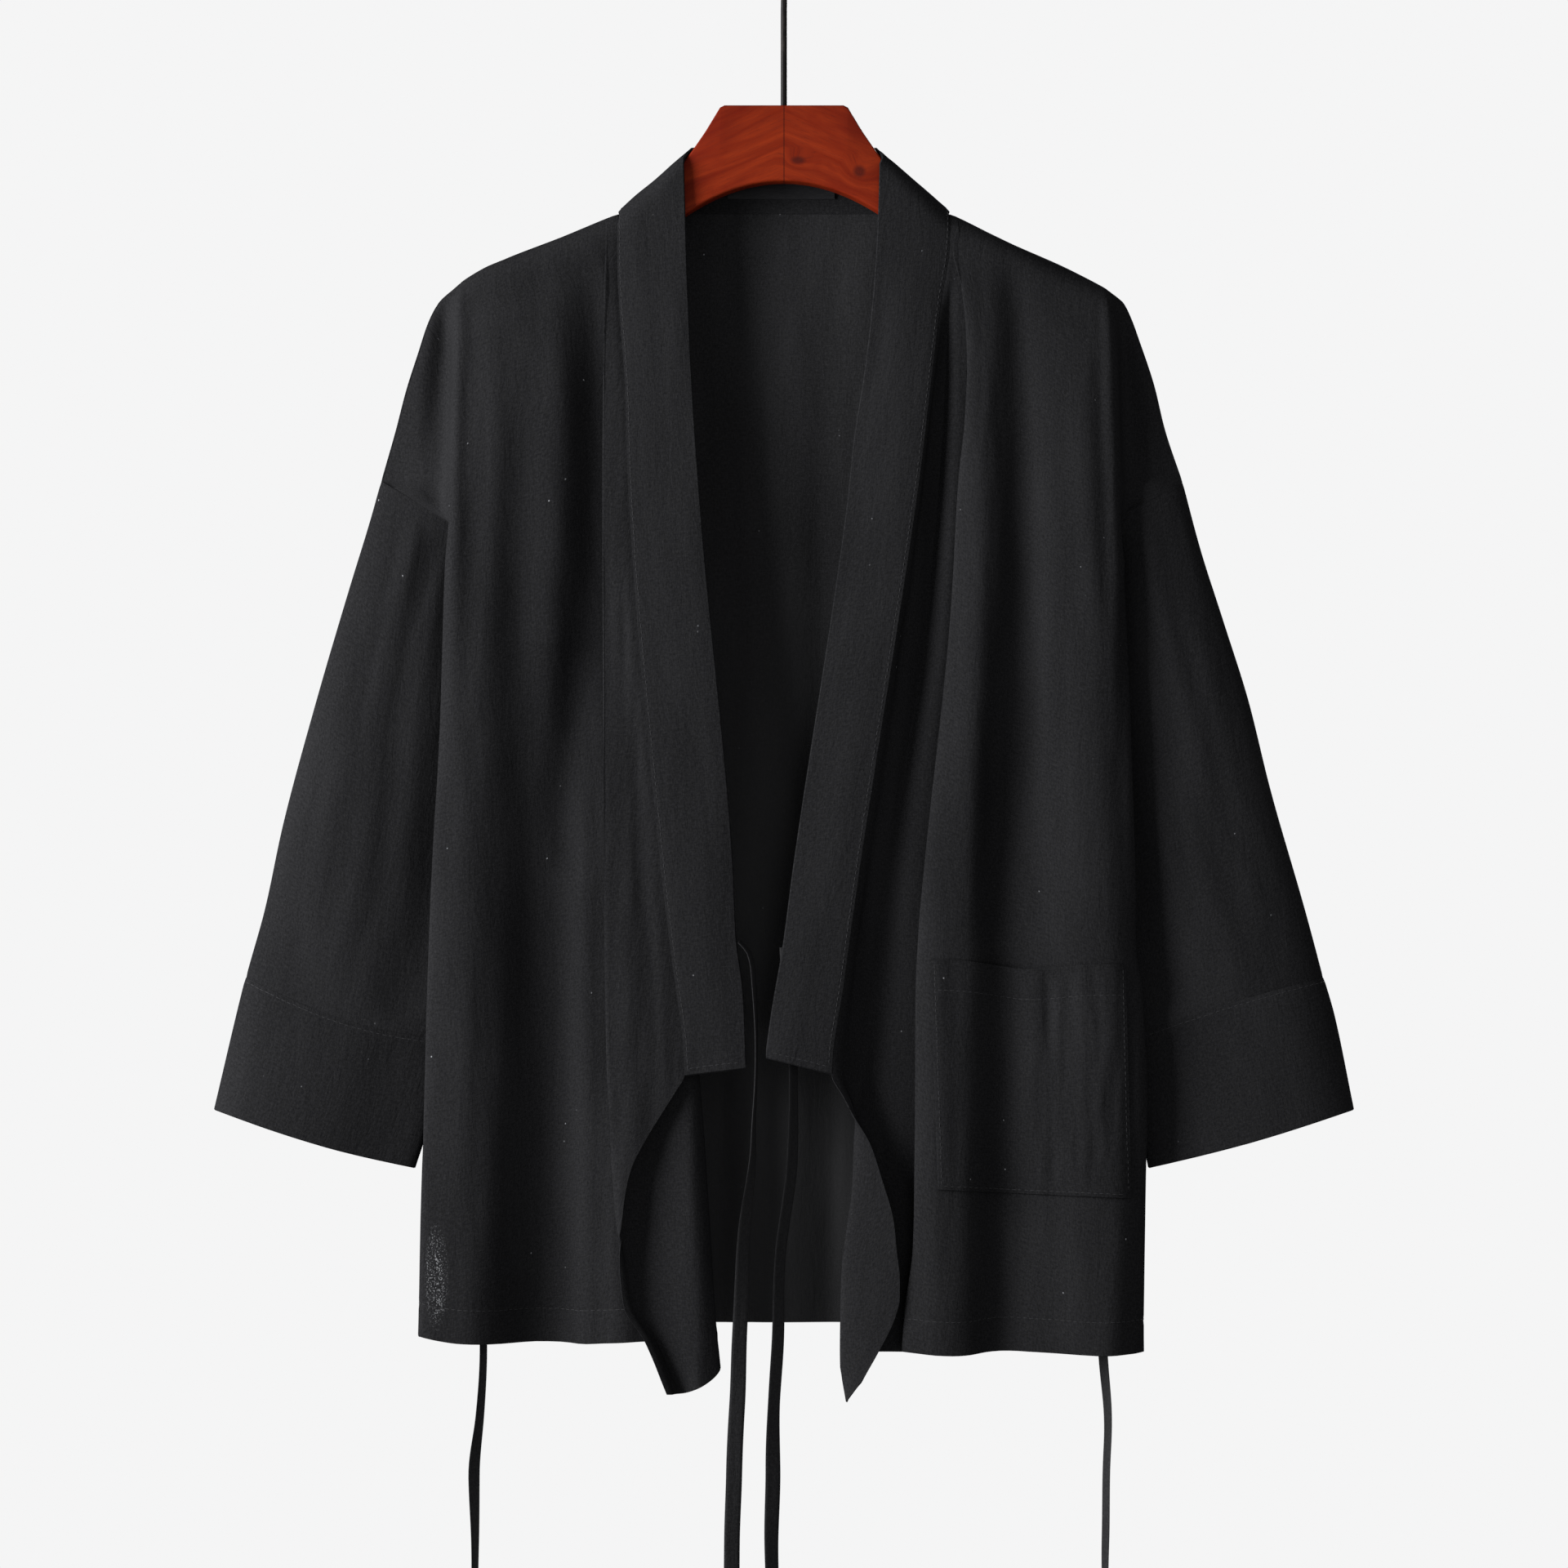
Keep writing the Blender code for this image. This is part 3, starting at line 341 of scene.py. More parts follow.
def smooth(points, place):
    """The value at place on a smooth line through (place, value) points, which it never overshoots."""
    places, values = np.array(points, float).T
    steps = np.diff(places)
    slopes = np.diff(values) / steps
    tangents = np.zeros(len(places))
    tangents[0], tangents[-1] = slopes[0], slopes[-1]
    same = slopes[:-1] * slopes[1:] > 0
    sums = np.where(same, slopes[:-1] + slopes[1:], 1)
    tangents[1:-1] = np.where(same, 2 * slopes[:-1] * slopes[1:] / sums, 0)
    place = np.clip(place, places[0], places[-1])
    left = np.clip(np.searchsorted(places, place) - 1, 0, len(steps) - 1)
    t = (place - places[left]) / steps[left]
    start, end = values[left], values[left + 1]
    pull, push = tangents[left] * steps[left], tangents[left + 1] * steps[left]
    return (
        start * (1 + 2 * t) * (1 - t) ** 2
        + pull * t * (1 - t) ** 2
        + end * t**2 * (3 - 2 * t)
        + push * t**2 * (t - 1)
    )


def smooth_columns(places, table, at):
    """Each column of a table of values at these places, read off smoothly."""
    return np.stack([smooth(np.stack([places, column], 1), at) for column in np.transpose(table)], 1)


def places_along(points):
    """Distances along a line of points from its first."""
    return np.concatenate([[0], np.cumsum(np.linalg.norm(np.diff(points, axis=0), axis=1))])


def turns_of(count):
    """The angles of a ring's points."""
    return np.arange(count) / count * 2 * math.pi


def bell(distance, width):
    """1 where the distance is nothing, falling smoothly to nothing within twice the width."""
    return np.exp(-((distance / width) ** 2))


def across_keys(keys, between):
    """A row of points on a smooth line through the row of key points, with so many steps between two."""
    last = len(keys) - 1
    return smooth_columns(np.arange(last + 1), keys, np.linspace(0, last, last * between + 1))


def world(across, drop, depth):
    """Metres in the part's frame, for a point that is seen at this place and lies this deep."""
    scale = 1 + depth / EYE_DISTANCE
    height = TOP - EYE_DROP - (drop - EYE_DROP) * scale
    return np.stack(np.broadcast_arrays(across * scale, depth, height), -1) * MM


def rounding(drop):
    """How far the cloth has rounded out over the arm, so far below the ridge."""
    left = 1 - min(max(drop, 0) / CAP_DROP, 1)
    return CAP_DEPTH * math.sqrt(1 - left * left)


def flat_tube(share):
    """Half thickness of a flat sleeve of half thickness 1, so far across from its outer to its inner edge."""
    angle = np.arccos(np.clip(1 - 2 * share, -1, 1))
    return np.sin(angle) * (1 + SLEEVE_LEAN * np.cos(angle))


def forward(table, name, drop):
    """How far the named line stands forward at this drop."""
    column = table[0].index(name)
    return smooth([(row[0], row[column]) for row in table[1:]], drop)


def edge_depth(drop):
    """Half the thickness of the jacket along the outer edge of a front: only the armhole opens it."""
    share = np.clip((drop - ARMHOLE_TOP) / (ARMHOLE_END - ARMHOLE_TOP), 0, 1)
    return SEAM / 2 + ARMHOLE_DEPTH * flat_tube(share) + smooth(LAP, share)


def edge_across(lines, drop):
    """Across along a front's outer edge: its outline, the straight armhole seam and the side seam."""
    if ARMHOLE_TOP < drop < ARMHOLE_END:
        ends = [(d, a) for d, a in lines["edge"] if d in (ARMHOLE_TOP, ARMHOLE_END)]
        return np.interp(drop, *zip(*ends))
    part = [p for p in lines["edge"] if (p[0] <= ARMHOLE_TOP) == (drop <= ARMHOLE_TOP)]
    return smooth(part, drop)


class Front:
    """One front panel, as key points along named lines."""

    def __init__(self, lines, table, hem, shoulder, names, middle, band_end):
        self.lines, self.table, self.hem, self.shoulder = lines, table, hem, shoulder
        self.names = names
        self.middle = middle
        self.band_end = band_end

    def across(self, name, drop):
        if name == "edge":
            return edge_across(self.lines, drop)
        if name == "recess":
            return (self.across("edge", drop) + self.across("fold", drop)) / 2
        if name == self.middle[0]:
            return (self.across(self.middle[1], drop) + self.across("seam", drop)) / 2
        return float(smooth(self.lines[name], drop))

    def top(self, name):
        """Drop at which the line leaves the shoulder ridge."""
        if name == "edge":
            return self.lines["edge"][0][0]
        if name == "recess":
            return (self.top("edge") + self.top("fold")) / 2
        if name == self.middle[0]:
            return (self.top(self.middle[1]) + self.top("seam")) / 2
        return float(smooth(self.shoulder, self.lines[name][0][1]))

    def depth(self, name, drop):
        if name == "edge":
            return -edge_depth(drop)
        if name == "recess":
            part = smooth(RECESS, drop)
            return part * self.depth("fold", drop) + (1 - part) * self.depth("edge", drop)
        if name == self.middle[0]:
            lift = np.interp(drop, *MIDDLE_LIFT)
            return (self.depth(self.middle[1], drop) + self.depth("seam", drop)) / 2 - lift
        ahead = forward(self.table, name, drop) * min((drop - self.top(name)) / 40, 1)
        return -(SEAM / 2 + rounding(drop - self.top(name)) + max(ahead, 0))

    def share(self, plain):
        """How far down each line this row lies, so that the band ends on a row."""
        top, hem = self.top("seam"), self.hem["seam"]
        return np.interp(plain, (ROWS[0], BAND_ROW, ROWS[-1]), (0, (self.band_end - top) / (hem - top), 1))

    def key_row(self, plain):
        """Key points of one row, the first of them along the outer edge."""
        own = (self.lines["edge"][0][0], ARMHOLE_TOP, ARMHOLE_END, self.hem["edge"])
        outer_drop = np.interp(plain, (ROWS[0], ARMHOLE_TOP, ARMHOLE_END, ROWS[-1]), own)
        share = self.share(plain)
        row = []
        for name in self.names:
            top = self.top(name)
            drop = outer_drop if name == "edge" else top + (self.hem[name] - top) * share
            row.append((self.across(name, drop), drop, self.depth(name, drop)))
        return np.array(row)

    def line_at(self, drop):
        """The section across the front at one drop."""
        keys = np.array([(self.across(name, drop), drop, self.depth(name, drop)) for name in self.names])
        return across_keys(keys, BETWEEN)

    def depth_at(self, across, drop):
        """Depth of the outer drape between its side fold and its pleat, where it is seen."""
        line = self.line_at(drop)[2 * BETWEEN:6 * BETWEEN + 1]
        order = np.argsort(line[:, 0])
        return np.interp(across, line[order, 0], line[order, 2])


LEFT = Front(
    LEFT_LINES, LEFT_FORWARD, LEFT_HEM, SHOULDER_LEFT,
    ("edge", "recess", "fold", "ridge", "valley", "pleat", "behind", "rear", "middle", "hollow", "strip",
     "strip_middle", "seam"),
    ("strip_middle", "strip"), BAND_ENDS[0][0],
)
RIGHT = Front(
    RIGHT_LINES, RIGHT_FORWARD, RIGHT_HEM, SHOULDER_RIGHT,
    ("edge", "recess", "fold", "ridge", "valley", "crest", "main", "behind", "inner", "leaf", "leaf_middle",
     "seam"),
    ("leaf_middle", "leaf"), BAND_ENDS[1][0],
)


def unit(vectors):
    return vectors / np.maximum(np.linalg.norm(vectors, axis=-1, keepdims=True), 1e-12)


def grid_world(grid):
    return world(*np.moveaxis(grid, -1, 0))


def armhole_normal(lines):
    """The direction in the front view at right angles to the armhole's seam, towards the sleeve."""
    top, end = [np.array((a, 0, -d), float) for d, a in lines["edge"] if d in (ARMHOLE_TOP, ARMHOLE_END)]
    line = unit(end - top)
    normal = np.array((line[2], 0, -line[0]))
    return normal if normal[2] < 0 else -normal


def edge_directions(front, rows):
    """For each row, what the thickness keeps clear of along the outer edge."""
    cross = armhole_normal(front.lines)
    return [cross if ARMHOLE_TOP < row < ARMHOLE_END else (0, 1, 0) for row in rows]


def sleeve_rings(sleeve, start, end, depths, sags, rows):
    """Rings of a flat tube from one slanted line to another, each as the drop of its outer and inner edge."""
    turns = turns_of(SLEEVE_AROUND)
    share = (1 - np.cos(turns)) / 2
    rings = []
    for part in np.linspace(0, 1, rows):
        outer_drop, inner_drop = [first + (last - first) * part for first, last in zip(start, end)]
        outer, inner = smooth(sleeve["outer"], outer_drop), smooth(sleeve["inner"], inner_drop)
        sag = (sags[0] + (sags[1] - sags[0]) * part) * np.sin(math.pi * share)
        drop = outer_drop + (inner_drop - outer_drop) * share + sag
        depth = smooth(depths, part) * np.sin(turns) * (1 + SLEEVE_LEAN * np.cos(turns))
        rings.append(np.stack([outer + (inner - outer) * share, drop, -depth], 1))
    return np.array(rings)


def band_front(front, inner, ahead, ends):
    """Sections of the band down one front, on its rows from its lower end up: seam, then inner edge."""
    sections = []
    inward = np.sign(inner[-1][1] - front.lines["seam"][5][1])
    top = front.top("seam")
    for plain in reversed([row for row in fine(ROWS) if row <= BAND_ROW]):
        drop = top + (front.hem["seam"] - top) * front.share(plain)
        if drop < BAND_FRONT_TOP[0] - 1:
            break
        inner_drop = np.interp(drop, (BAND_FRONT_TOP[0], ends[0]), (BAND_FRONT_TOP[1], ends[1]))
        seam = (front.across("seam", drop) + inward * SEAM / 2, drop, front.depth("seam", drop))
        sections.append((*seam, smooth(inner, inner_drop), inner_drop, -smooth(ahead, inner_drop)))
    return sections


def band_turn():
    """The band's turn over one shoulder, round the neck and over the other."""
    return [*BAND_TURN, *[(-a, b, c, -d, e, f) for a, b, c, d, e, f in BAND_TURN[-2::-1]]]


def tie_route(route):
    """Points every few millimetres down a tie, with its turn."""
    places = places_along(np.array(route, float)[:, :3])
    at = np.linspace(0, places[-1], round(places[-1] / TIE_STEP) + 1)
    return smooth_columns(places, route, at)


def wood_top(distance, side):
    """Drop of the hanger's upper edge: the block's shape, then just under the band and the shoulder."""
    if distance <= WOOD_TOP[-1][0]:
        return np.interp(distance, *zip(*WOOD_TOP))
    front = RIGHT if side > 0 else LEFT
    if distance < SHOULDER_RIGHT[0][0]:
        neck, _, _, ridge, ridge_drop, _ = BAND_TURN[1]
        return np.interp(-distance, (neck, ridge), (front.top("seam") + NECK_REST, ridge_drop + BAND_REST))
    shoulder = across_keys(front.key_row(ROWS[0]), BETWEEN)
    order = np.argsort(shoulder[:, 0])
    tip = max(distance - TIP_START, 0) ** 2 / TIP_CURVE
    return np.interp(side * distance, shoulder[order, 0], shoulder[order, 1]) + ARM_REST + tip


def wood_ring(distance, side):
    """The hanger's section so far from the middle: a rectangle with rounded corners."""
    top = wood_top(distance, side)
    if distance <= ARCH_HALF:
        bottom = ARCH_DROP + ARCH_RISE * (distance / ARCH_HALF) ** 2
    else:
        bottom = smooth(WOOD_BOTTOM, distance)
    radius = min(np.interp(distance, *zip(*WOOD_ROUND)), (bottom - top) / 2 - 0.3)
    ring = []
    for quarter in range(4):
        for step in range(CORNER_STEPS):
            angle = math.radians(quarter * 90 + step * 90 / (CORNER_STEPS - 1))
            depth = math.copysign(WOOD_HALF - radius, (1, -1, -1, 1)[quarter]) + radius * math.cos(angle)
            middle = top + radius if quarter < 2 else bottom - radius
            ring.append((side * distance, depth, middle - radius * math.sin(angle)))
    ring = np.array(ring)
    return np.stack([ring[:, 0], ring[:, 1], TOP - ring[:, 2]], 1) * MM


# Finer steps than the solids have
ROW_STEP = 4.5
BACK_BETWEEN = 6
SLEEVE_AROUND = 120
SLEEVE_ROWS = 84
CUFF_ROWS = 22
BAND_ACROSS = 21
BAND_STEP = 4.5
POCKET_STEP = 2.2

# Thicknesses of the looks, in millimetres
THIN = 1.0
BAND_THIN = 2.0
CUFF_THIN = 1.7
POCKET_THIN = 0.9
LABEL_THIN = 0.5

# Seams and hems, in millimetres
BAND_SINK = 0.35  # of the thicker band, so that it lies level with the fronts
ROLL = 0.35  # how far the cloth turns in at a seam
ROLL_WIDTH = 2.6
HEM_FOLD = 22  # height of the turned hem
HEM_GROOVE = 0.4
HEM_GROOVE_WIDTH = 1.5
PUCKER = 0.28
PUCKER_LENGTH = 11
PUCKER_REACH = 9
STITCH_PITCH = 4.2
STITCH_LENGTH = 2.9
THREAD = 0.5
THREAD_SIDES = 6
# Rings of a stitch: height over the cloth, share of the thread's width
STITCH_RINGS = ((-0.12, 0.35), (0.14, 0.5), (-0.12, 0.35))
STITCH_SEED = 5
NECK_HALF = 110  # the back's upper edge follows the band this far to each side

# How far from an edge the creases have two thirds of their height, in millimetres
CALM = {
    "seam": 14, "front_edge": 11, "side_trough": 8, "front_top": 22, "front_band": 6, "back_top": 20,
    "sleeve_trough": 10, "cuff": 8, "band_seam": 6, "band_edge": 5, "pocket_side": 7, "pocket_bottom": 9,
}

# Creases: across and drop of the start, the same for the end, width, lift off the cloth, bow to the right
LEFT_CREASES = (
    (-128, 100, -134, 520, 15, -8.0, 2),
    (-170, 170, -180, 640, 15, -4.0, -2),
    (-217, 124, -223, 460, 5, 3.0, -1),
    (-222, 190, -228, 640, 13, 1.8, 2),
    (-150, 360, -160, 1250, 28, -15.0, -4),
    (-208, 420, -208, 1250, 15, 1.2, 2),
    (-137, 420, -132, 1250, 11, 5.0, -2),
    (-100, 560, -96, 1100, 9, -2.0, 2),
    (-196, 150, -203, 420, 7, 1.6, 4),
    (-176, 190, -180, 520, 9, -1.5, -5),
    (-186, 330, -190, 700, 6, 1.2, 6),
    (-160, 120, -140, 330, 8, 1.3, 5),
    (-143, 240, -138, 560, 7, -1.4, -4),
    (-164, 430, -168, 790, 8, 1.5, 5),
    (-132, 420, -130, 740, 6, 1.2, -3),
    (-222, 300, -226, 560, 5, -1.0, 2),
    (-205, 560, -214, 800, 7, -1.5, 4),
    (-190, 650, -198, 828, 5, 1.0, -3),
)
LEFT_STRIP_CREASES = (
    (-108, 180, -98, 420, 5, 0.7, 3),
    (-100, 380, -88, 640, 5, -0.9, -3),
    (-88, 520, -78, 690, 4, 0.8, 2),
    (-104, 520, -96, 780, 6, 0.9, -3),
)
RIGHT_CREASES = (
    (157, 105, 156, 560, 14, -6.5, 2),
    (218, 132, 225, 440, 5, 3.0, 1),
    (127, 170, 122, 520, 9, 2.2, 2),
    (190, 160, 196, 620, 22, 3.0, -3),
    (145, 400, 139, 1150, 15, -6.5, 3),
    (104, 430, 103, 1150, 12, 2.5, -2),
    (205, 160, 214, 400, 7, 1.5, -4),
    (188, 200, 190, 540, 9, -1.5, 5),
    (196, 380, 204, 560, 6, 1.1, -4),
    (150, 130, 148, 360, 8, 1.2, 4),
    (168, 300, 172, 560, 7, -1.2, -4),
    (134, 200, 128, 470, 6, 1.2, 3),
    (142, 420, 136, 570, 7, -1.1, 3),
    (226, 320, 232, 600, 5, -0.9, -2),
    (196, 745, 200, 838, 8, 1.3, 3),
    (150, 745, 148, 838, 7, -1.1, -3),
    (222, 735, 226, 836, 5, 1.0, 2),
)
RIGHT_STRIP_CREASES = (
    (116, 125, 90, 540, 13, -9.0, -2),
    (96, 360, 62, 720, 9, -5.0, -4),
    (104, 180, 84, 420, 5, 0.8, -3),
    (78, 400, 60, 640, 5, 1.0, 3),
    (66, 600, 64, 830, 6, -1.0, 2),
)
# Where the creases of the drape end and those of the strip or leaf begin, counted in key lines
FOLDED = {"front_left": (6.5, 9.6), "front_right": (6.4, 7.6)}
# On the sleeves the same, but across is in hundredths of the way from the outer to the inner edge
SLEEVE_CREASES = (
    (30, 268, 34, 470, 8, 1.6, 4),
    (46, 285, 52, 560, 9, -1.7, -5),
    (66, 300, 62, 520, 7, 1.4, 4),
    (82, 330, 86, 600, 6, -1.2, -2),
    (18, 330, 22, 585, 8, 1.1, -3),
    (40, 430, 38, 610, 7, 1.2, 4),
    (72, 430, 76, 625, 7, 1.3, -4),
)
SLEEVE_CREASES_BEHIND = (
    (26, 262, 30, 430, 8, 1.3, -4),
    (44, 300, 40, 590, 9, -1.5, 5),
    (62, 320, 68, 540, 7, 1.4, -3),
    (84, 350, 80, 600, 6, -1.0, 3),
)
BACK_CREASES = (
    (-190, 160, -198, 430, 8, 1.6, -4),
    (-172, 260, -180, 600, 8, -1.4, 5),
    (-130, 150, -140, 520, 9, 1.4, 4),
    (-92, 130, -84, 380, 7, -1.2, -3),
    (-58, 110, -64, 460, 8, 1.3, 4),
    (-22, 140, -16, 420, 7, -1.2, -4),
    (18, 120, 24, 520, 8, 1.3, 3),
    (60, 130, 52, 400, 7, -1.3, 4),
    (98, 120, 104, 470, 9, 1.5, -4),
    (140, 160, 150, 560, 8, -1.4, 4),
    (186, 170, 196, 480, 8, 1.5, 4),
    (-150, 520, -156, 800, 7, 1.3, 3),
    (-40, 520, -36, 790, 6, 1.0, -3),
    (70, 540, 62, 800, 7, -1.2, 3),
    (168, 560, 176, 810, 7, 1.4, -3),
)
# The trough outside each front's side fold, above the armhole's seam and on the sleeve below it
SIDE_TROUGHS = {
    "front_left": (-229, 112, -236, 302, 7, -8.5, -1), "front_right": (231, 118, 237, 302, 7, -8.5, 1),
}
SLEEVE_TROUGHS = {"left": (49, 190, 86, 730, 11, -4.0, 7), "right": (50, 190, 86, 730, 14, -8.0, 7)}

# Where wall light shows through the weave: across and drop of the middle, half sizes
THIN_SPOT = (-231, 783, 8, 36)

MOUTH_HEM = 20
# Crinkles on the pocket's right half: height, width, length, seed
POCKET_CRINKLES = ((0.55, 6.5, 48, 83), (0.4, 3.6, 26, 84))
CRINKLED = (0.45, 0.65)  # where they begin and are whole, along the mouth
# The fold under the mouth: place along it, half width, how far down it reaches, depth
MOUTH_FOLD = (0.6, 0.045, 0.45, 2.4)
POCKET_SINK = 0.5  # how far the pocket's edges are pulled in by the stitches
POCKET_SINK_WIDTH = 2.2

BACKDROP = (0.912, 0.912, 0.914, 1)
FLOOR_TONE = 0.2
FLOOR = -1.75  # height, in metres
FLOOR_RADIUS = 2.3
MIDDLE = (TOP - EYE_DROP) * MM  # the height that the photograph is taken from, in metres
LENS = 75
SENSOR = 36
# Lamps: place, height aimed at, sizes in metres, power in watts
LAMPS = {
    "key": ((-1.95, -0.95, -0.12), MIDDLE, (1.2, 1.6), 435),
    "side": ((0.6, -2.6, 0.3), MIDDLE, (0.8, 1.6), 18),
    "low": ((0.5, -2.0, -1.6), -1.0, (1.0, 0.5), 14),
    "behind": ((1.8, 2.4, 0.8), MIDDLE, (1.4, 1.6), 240),
}

THREAD_PITCH = 0.00075  # of the weave, in metres
LATTICE = 97  # chance values each way, before they repeat

# Knots in the hanger's wood: across, drop, half width, half height
KNOTS = ((9.4, 37.4, 5, 2.8), (50.6, 44.6, 4.2, 4))


def fine(rows):
    """The same rows with more between them."""
    made = [rows[0]]
    for start, end in zip(rows, rows[1:]):
        count = max(math.ceil((end - start) / ROW_STEP), 1)
        made.extend(start + (end - start) * part / count for part in range(1, count + 1))
    return np.array(made)


def lattice(across, down, wide, high, seed):
    """Smooth chance bumps between -1 and 1, so wide and so high."""
    values = np.random.default_rng(seed).uniform(-1, 1, (LATTICE, LATTICE))
    x, y = np.asarray(across) / wide + 40, np.asarray(down) / high + 3
    left, low = np.floor(x).astype(int), np.floor(y).astype(int)
    u, v = x - left, y - low
    u, v = u * u * (3 - 2 * u), v * v * (3 - 2 * v)

    def at(i, j):
        return values[(left + i) % LATTICE, (low + j) % LATTICE]

    return (at(0, 0) * (1 - u) + at(1, 0) * u) * (1 - v) + (at(0, 1) * (1 - u) + at(1, 1) * u) * v


def creases(table, across, drop):
    """How far the creases lift the cloth at these places."""
    total = np.zeros(np.shape(across))
    for start_x, start_y, end_x, end_y, width, lift, bow in table:
        reach = end_y - start_y
        along = np.clip((drop - start_y) / reach, -0.5, 1.5)
        middle = start_x + (end_x - start_x) * along + bow * np.sin(math.pi * along * 1.3)
        inside = np.clip(along, 0, 1)
        fade = np.sin(math.pi * inside) ** 0.5 * ((along > 0) & (along < 1))
        spread = width * (0.8 + 0.4 * inside)
        total += lift * fade * bell(across - middle, spread)
    return total


def crinkles(across, drop, seed, strength=1.0):
    """The faint upright crinkles and slow waves of thin washed cloth."""
    bend = 5 * lattice(across, drop, 60, 90, seed + 5)
    return strength * (
        0.65 * lattice(across + bend, drop, 26, 150, seed)
        + 0.42 * lattice(across + bend, drop, 11, 75, seed + 1)
        + 0.24 * lattice(across + bend, drop, 5.5, 40, seed + 2)
        * (1 + lattice(across, drop, 45, 90, seed + 7))
        + 0.8 * lattice(across, drop, 75, 230, seed + 3)
    )


def lengths_from(points, axis, last):
    """Millimetres along the grid from its first or last line on this axis."""
    steps = np.linalg.norm(np.diff(points, axis=axis), axis=-1) / MM
    total = np.concatenate([np.zeros_like(np.take(steps, [0], axis)), np.cumsum(steps, axis)], axis)
    return np.take(total, [-1], axis) - total if last else total


def normals_of(middle, round_it=False):
    down = np.gradient(middle, axis=0)
    if round_it:
        along = np.roll(middle, -1, 1) - np.roll(middle, 1, 1)
    else:
        along = np.gradient(middle, axis=1)
    return unit(np.cross(unit(along), unit(down)))


class Cloth:
    """A panel of cloth: its middle surface, its outward normals and its thickness in millimetres."""

    def __init__(self, name, middle, thickness, round_it=False, flat=None, outward=(0, -1, 0)):
        self.name, self.middle, self.round_it = name, middle, round_it
        self.thickness = np.full(middle.shape[:2], float(thickness))
        self.normals = normals_of(middle, round_it)
        if round_it:
            outward = unit(middle - middle.mean(1, keepdims=True))
        if (self.normals * outward).sum() < 0:
            self.normals = -self.normals
        self.flat = flat or {}

    def lift(self, amount):
        self.middle = self.middle + self.normals * np.asarray(amount)[..., None] * MM
        turned = normals_of(self.middle, self.round_it)
        self.normals = turned if (turned * self.normals).sum() > 0 else -turned

    def from_edge(self, edge):
        return lengths_from(self.middle, 0 if edge in ("top", "bottom") else 1, edge in ("bottom", "last"))

    def finish_normals(self):
        parts = {
            "top": (0, slice(None)), "bottom": (-1, slice(None)), "first": (slice(None), 0),
            "last": (slice(None), -1),
        }
        for edge, directions in self.flat.items():
            directions = unit(np.asarray(directions, float))
            there = self.normals[parts[edge]]
            self.normals[parts[edge]] = unit(there - (there * directions).sum(-1, keepdims=True) * directions)

    def outer(self):
        return self.middle + self.normals * self.thickness[..., None] / 2 * MM

    def inner(self):
        return self.middle - self.normals * self.thickness[..., None] / 2 * MM

    def make(self, slot, weave):
        """The closed cloth, with rounded rims and the weave's own map in metres."""
        self.finish_normals()
        rows, columns = self.middle.shape[:2]
        around = columns if self.round_it else columns - 1
        points = [self.outer().reshape(-1, 3), self.inner().reshape(-1, 3)]
        layer = rows * columns
        index = np.arange(layer).reshape(rows, columns)
        if self.round_it:
            index = np.concatenate([index, index[:, :1]], 1)
        a, b, c, d = index[:-1, :-1], index[:-1, 1:], index[1:, 1:], index[1:, :-1]
        quads = [np.stack([a, b, c, d], -1).reshape(-1, 4), np.stack([a, d, c, b], -1).reshape(-1, 4) + layer]
        rim_start = 2 * layer
        rims = {"top": index[0], "bottom": index[-1]}
        if not self.round_it:
            rims.update({"first": index[:, 0], "last": index[:, -1]})
        towards = {"top": index[1], "bottom": index[-2], "first": index[:, 1], "last": index[:, -2]}
        flat_middle, flat_thick = self.middle.reshape(-1, 3), self.thickness.reshape(-1)
        shared = {}
        for edge, line in rims.items():
            ids = []
            for spot, inside in zip(line, towards[edge]):
                if spot not in shared:
                    out = unit(flat_middle[spot] - flat_middle[inside])
                    keep = 0.0 if edge in self.flat else 0.4
                    points.append((flat_middle[spot] + out * keep * flat_thick[spot] * MM)[None])
                    shared[spot] = rim_start + len(shared)
                ids.append(shared[spot])
            ids = np.array(ids)
            turn = edge in ("bottom", "first")
            for low, high in ((line, ids), (ids, line + layer)):
                quad = np.stack([low[:-1], high[:-1], high[1:], low[1:]], -1)
                quads.append(quad[:, ::-1] if turn else quad)
        made = mesh_piece(f"{self.name}_{slot}", np.concatenate(points), np.concatenate(quads).tolist(), slot)
        self.map_weave(made, layer, weave, np.array(list(shared)))
        return made

    def map_weave(self, made, layer, weave, rim):
        """A map in metres along the cloth, shifted so that no two panels show the same threads."""
        along = lengths_from(self.middle, 1, False)
        down = lengths_from(self.middle, 0, False)
        along = along - along[:, [along.shape[1] // 2]]
        place = np.stack([along * MM + weave[0], -down * MM + weave[1]], -1).reshape(-1, 2)
        spots = np.concatenate([np.arange(layer), np.arange(layer), rim])
        found = place[spots[corner_points(made)]].reshape(-1, 4, 2)
        if self.round_it:
            whole = np.ptp(place[:, 0])
            wrapped = np.ptp(found[..., 0], axis=1)[:, None] > whole / 2
            found[..., 0] += np.where(wrapped & (found[..., 0] < place[:, 0].min() + whole / 2), whole, 0)
        set_weave(made, found)


def corner_points(made):
    """The point at each corner of each face."""
    corners = np.zeros(len(made.data.loops), int)
    made.data.loops.foreach_get("vertex_index", corners)
    return corners


def set_weave(made, places):
    """The weave's own map: the place of each corner along the cloth, in metres."""
    made.data.uv_layers.new(name="weave").data.foreach_set("uv", places.astype(np.float32).ravel())


